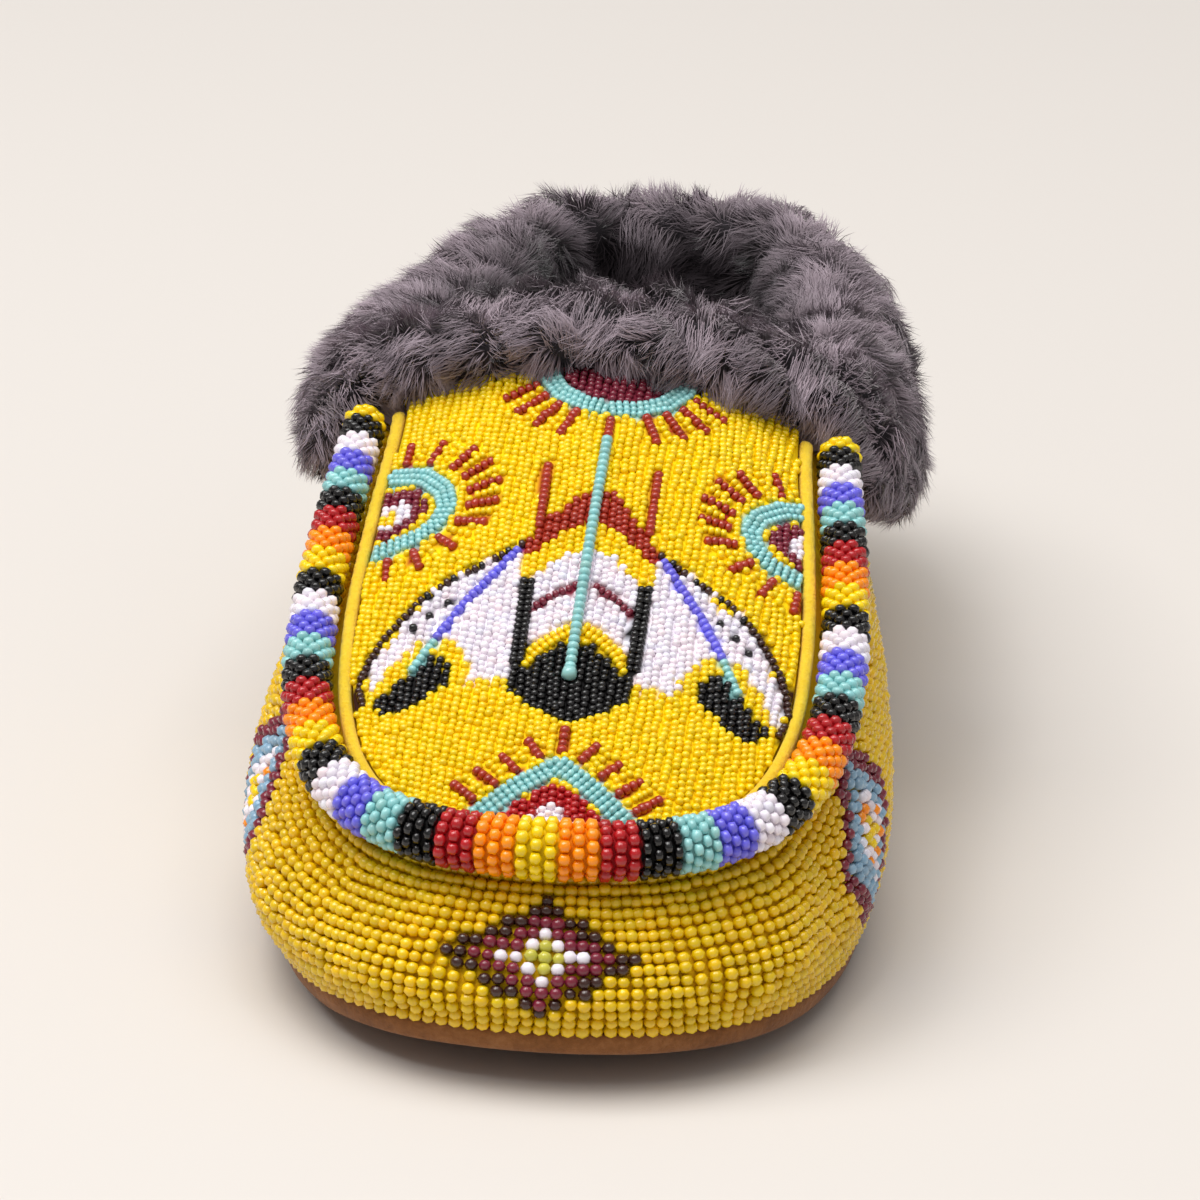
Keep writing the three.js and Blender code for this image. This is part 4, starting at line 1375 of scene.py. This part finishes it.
def furSection(places, i):
    inside = places[i]["inside"]
    lined, depth = places[inside]["lined"], places[inside]["lining"] * fur["skin"]
    pile = places[i]["pile"] * fur["skin"]
    drop = places[i]["drop"] - fur["hemLift"] - fur["throatLift"] * places[i]["lift"]
    inner = -last["upperWall"] - fur["gap"]
    rise = fur["top"] * fur["skin"]
    points = [besideUpper(places, i, drop * down, pile * share)
              for down, share in ((0.98, 0.2), (1.0, 0.72), (0.76, 0.96), (0.45, 1.0), (0.14, 0.95))]
    points.append(overRim(places, i, 0.72 * rise, 0.5 * pile))
    points.append(overRim(places, inside, rise, -0.3 * last["upperWall"]))
    points.append(overRim(places, inside, 0.6 * rise, inner - 0.75 * depth))
    points.append(besideUpper(places, inside, lined * 0.35, inner - depth))
    points.append(besideUpper(places, inside, lined, inner - 0.6 * depth))
    return np.array(points)


def smoothWeights(t):
    before, after = 0.5 * (2 * t**2 - t**3 - t), 0.5 * (t**3 - t**2)
    return before, 0.5 * (3 * t**3 - 5 * t**2 + 2), 0.5 * (4 * t**2 - 3 * t**3 + t), after


def finerGrid(sections, around, over):
    count = len(sections)
    at = np.arange(around) * count / around
    i = np.floor(at).astype(int)
    weights = smoothWeights((at - i)[:, None, None])
    loops = sum(w * sections[(i + k - 1) % count] for k, w in enumerate(weights))
    count = sections.shape[1]
    at = np.linspace(0, count - 1 - 1e-6, over)
    i = np.floor(at).astype(int)
    weights = smoothWeights((at - i)[None, :, None])
    return sum(w * loops[:, np.clip(i + k - 1, 0, count - 1)] for k, w in enumerate(weights))


waveWays = unit(furRng.normal(0, 1, (fur["waves"], 3))) * 2 * math.pi
waveWays = waveWays / furRng.uniform(0.7, 1.4, (fur["waves"], 1))
waveStarts = furRng.uniform(0, 2 * math.pi, (3, fur["waves"]))


def smoothNoise(points, size):
    phase = points @ waveWays.T / size
    return np.stack([np.sin(phase + start).sum(-1) for start in waveStarts], -1) / math.sqrt(fur["waves"] / 2)


places = collarPlaces()
sections = np.stack([furSection(places, i) for i in range(len(places))])
skinGrid = finerGrid(sections, fur["around"], fur["over"])


def gridWays(grid):
    along = unit(np.roll(grid, -1, axis=0) - np.roll(grid, 1, axis=0))
    fall = unit(-np.gradient(grid, axis=1))
    return fall, unit(np.cross(fall, along))


swell = fur["lumps"] * np.sin(np.linspace(0, math.pi, fur["over"])) ** 0.5
lumps = smoothNoise(skinGrid.reshape(-1, 3), fur["lumpLength"])[:, 0].reshape(skinGrid.shape[:2])
skinGrid = skinGrid + gridWays(skinGrid)[1] * (lumps * swell[None])[..., None]
fallGrid, normalGrid = gridWays(skinGrid)
skinFaces = [list(face)[::-1] for face in gridFaces(fur["around"], fur["over"], closedRows=True)]
skinShell = shellOf(skinGrid.reshape(-1, 3), skinFaces, 0.0, fur["skinWall"])
furSkin = meshPiece("furSkin", *skinShell, materials["furBase"])


def gridSample(grid, u, v):
    rows, columns = grid.shape[:2]
    i = np.floor(u * rows).astype(int) % rows
    j = np.minimum(np.floor(v * (columns - 1)).astype(int), columns - 2)
    fu = (u * rows - np.floor(u * rows))[:, None]
    fv = (v * (columns - 1) - j)[:, None]
    n = (i + 1) % rows
    low, high = (grid[i, j + step] * (1 - fu) + grid[n, j + step] * fu for step in (0, 1))
    return low * (1 - fv) + high * fv


def spreadOver(grid, count):
    columns = grid.shape[1]
    along = np.roll(grid, -1, axis=0) - grid
    area = np.linalg.norm(np.cross(along[:, :-1], grid[:, 1:] - grid[:, :-1]), axis=-1).ravel()
    chosen = furRng.choice(len(area), count, p=area / area.sum())
    u = (chosen // (columns - 1) + furRng.random(count)) / grid.shape[0]
    v = (chosen % (columns - 1) + furRng.random(count)) / (columns - 1)
    return u, v


def hairWays(u, v):
    normal = unit(gridSample(normalGrid, u, v))
    fall = unit(gridSample(fallGrid, u, v))
    inside = np.clip((v - fur["insideFrom"]) / fur["insideOver"], 0, 1)[:, None]
    fall = fall * (1 - 2 * inside)
    waves = smoothNoise(gridSample(skinGrid, u, v), fur["waveLength"]) * fur["waveDepth"]
    return normal, unit(normal * fur["stand"] + fall * fur["lie"] + waves + np.array(fur["comb"]))


def furHairs():
    lockU, lockV = spreadOver(skinGrid, fur["locks"])
    lockRoot = gridSample(skinGrid, lockU, lockV)
    lockFlow = hairWays(lockU, lockV)[1]
    lockWay = unit(lockFlow + furRng.normal(0, fur["turnOff"], lockFlow.shape))
    lockTip = lockRoot + lockWay * fur["length"] * furRng.uniform(*fur["lockLengths"], fur["locks"])[:, None]
    u, v = spreadOver(skinGrid, fur["hairs"])
    root = gridSample(skinGrid, u, v)
    normal, flow = hairWays(u, v)
    nearest = nearestOf(root, lockRoot)
    length = fur["length"] * furRng.uniform(*fur["hairLengths"], len(root))[:, None]
    length *= fur["hemLength"] + (1 - fur["hemLength"]) * np.clip(v / fur["hem"], 0, 1)[:, None]
    pull = furRng.uniform(*fur["pulls"], len(root))[:, None]
    own = root + unit(flow + furRng.normal(0, fur["turnOff"], flow.shape)) * length
    tip = own * (1 - pull) + lockTip[nearest] * pull
    rise = unit(normal * 0.9 + flow * 0.5 + furRng.normal(0, 0.12, flow.shape))
    middle = (root + rise * length * 0.5) * 0.7 + (root + tip) * 0.15
    shade = furRng.normal(1, fur["hairTint"], len(root)) * (1 + fur["lockTint"] * np.sin(nearest * 2.399))
    shade *= 1 + fur["patchTint"] * np.clip(smoothNoise(root, fur["waveLength"])[:, 1], -1.5, 1.5)
    # painted shade: hair past the crest darkens towards the inside of the opening, where the collar's inner
    # face lies in shadow
    shade *= 1 - fur["paintedInnerShade"] * np.clip((v - fur["shadeFrom"]) / fur["shadeOver"], 0, 1)
    return u, root - normal * fur["rootDepth"], middle, tip, normal, shade


def hairPiece(name, root, middle, tip, normal, shade):
    count = len(root)
    axis = unit(tip - root)
    side = unit(np.cross(axis, normal))
    roll = furRng.normal(0, 0.5, (count, 1))
    side = side * np.cos(roll) + np.cross(axis, side) * np.sin(roll)
    wide = side * fur["width"]
    points = np.stack([root, middle - wide, middle + wide, tip], axis=1)
    first = (np.arange(count) * 4)[:, None]
    blades = (first + np.array([0, 2, 1])[None]).tolist() + (first + np.array([1, 2, 3])[None]).tolist()
    mesh = bpy.data.meshes.new(name)
    mesh.from_pydata((points.reshape(-1, 3) * mm).tolist(), [], blades)
    mesh.shade_smooth()
    soft = unit(normal * 0.75 + unit(np.cross(side, axis)) * 0.25 + furRng.normal(0, 0.08, normal.shape))
    mesh.normals_split_custom_set_from_vertices(np.repeat(soft, 4, axis=0).tolist())
    tone = np.clip(shade, 0.25, 1.5)[:, None, None]
    # root-to-tip tones, partly the fur's own colour and partly painted shade and painted highlight
    colors = np.stack([linear(color) for color in fur["tones"]])[None] * tone
    addLayer(mesh, "furColor", "FLOAT_COLOR", opaque(colors.reshape(-1, 3)))
    mesh.materials.append(materials["fur"])
    print("  ", name, count, "hairs", count * 2, "triangles")
    return linked(name, mesh)


hairU, *hairShape = furHairs()
throatShare = (fur["throatSteps"] + 3) / len(places)
innerShare = 0.5 + throatShare / 2
hairPieces = []
for name, chosen in {
    "throatFur": hairU < throatShare,
    "innerSideFur": (hairU >= throatShare) & (hairU < innerShare),
    "outerSideFur": hairU >= innerShare,
}.items():
    hairPieces.append(hairPiece(name, *[part[chosen] for part in hairShape]))
print("stage: fur ready")


# Which piece stands for which solid, and its finish
pieces = [
    (sole, "outsole", "suede"),
    (insole, "insole", "fleece"),
    (leather, "upper", "side_beads"),
    (vampPiece, "vamp_panel", "vamp_beads"),
    (bindingStrip, "vamp_binding", "binding"),
    (ropeBeads, "beaded_rope", "rope_beads"),
    (furSkin, "fur_collar", "fur"),
]
pieces += [(piece, None, "side_beads") for piece in sidePieces]
pieces += [(backing, None, "vamp_beads"), (middlePiece, None, "vamp_beads"), (ropeCore, None, "rope_beads")]
pieces += [(stitchPiece, None, "suede"), (liningPiece, None, "fleece")]
pieces += [(piece, None, "fur") for piece in hairPieces]
for piece, node, slot in pieces:
    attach(piece, "root")
    if node:
        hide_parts(node)

# Floor, light and camera
studio = {
    "floor": (212, 207, 202),
    "floorReach": 6000.0,
    "floorLevel": -0.2,
    "skyColor": (1.0, 0.97, 0.94, 1),
    "skyStrength": 0.36,
    "sensor": 36,
    "camera": (69.7, -853.4, 346.2),
    "aim": (0.0, -24.0, 40.0),
    "roll": 2.2,
    "lens": 165.0,
}
floorMaterial, floorNodes, _ = newMaterial("paleFloor")
setInputs(floorNodes["Principled BSDF"], {"Base Color": (*linear(studio["floor"]), 1), "Roughness": 0.9})
floorCorners = np.array([(-1, -1, 0), (1, -1, 0), (1, 1, 0), (-1, 1, 0)]) * studio["floorReach"]
floorCorners[:, 2] = studio["floorLevel"]
floor = meshPiece("floor", floorCorners, [(0, 1, 2, 3)], floorMaterial)


# name, place and aim in metres, size, power, colour
lamps = [
    ("keyLight", (-0.9, -0.3, 1.95), (0, 0, 0.03), 1.35, 28, (1.0, 0.98, 0.96)),
    ("topLight", (0.0, -0.1, 2.25), (0, 0, 0.03), 1.8, 30, (1.0, 1.0, 1.0)),
    ("fillLight", (1.05, -1.5, 1.35), (0, 0, 0.03), 1.8, 2, (1.0, 0.98, 0.96)),
    ("glintLight", (-0.3, -0.75, 1.1), (0, -0.05, 0.03), 0.2, 1.2, (1.0, 1.0, 1.0)),
]
for name, place, aim, size, power, color in lamps:
    lamp = bpy.data.lights.new(name, "AREA")
    lamp.size = size
    lamp.energy = power
    lamp.color = color
    light = linked(name, lamp)
    light.location = place
    light.rotation_euler = (Vector(aim) - Vector(place)).to_track_quat("-Z", "Y").to_euler()
world = bpy.data.worlds.new("studio")
world.use_nodes = True
sky = {"Color": studio["skyColor"], "Strength": studio["skyStrength"]}
setInputs(world.node_tree.nodes["Background"], sky)
bpy.context.scene.world = world
bpy.context.scene.view_settings.view_transform = "Standard"

cameraData = bpy.data.cameras.new("camera")
cameraData.lens = studio["lens"]
cameraData.sensor_width = studio["sensor"]
camera = linked("camera", cameraData)
eye = Vector(studio["camera"]) * mm
look = (Vector(studio["aim"]) * mm - eye).normalized()
right = look.cross(Vector((0, 0, 1))).normalized()
above = right.cross(look)
roll = math.radians(studio["roll"])
turnedRight = right * math.cos(roll) + above * math.sin(roll)
turnedUp = above * math.cos(roll) - right * math.sin(roll)
camera.matrix_world = Matrix((
    (turnedRight.x, turnedUp.x, -look.x, eye.x),
    (turnedRight.y, turnedUp.y, -look.y, eye.y),
    (turnedRight.z, turnedUp.z, -look.z, eye.z),
    (0, 0, 0, 1),
))
bpy.context.scene.camera = camera
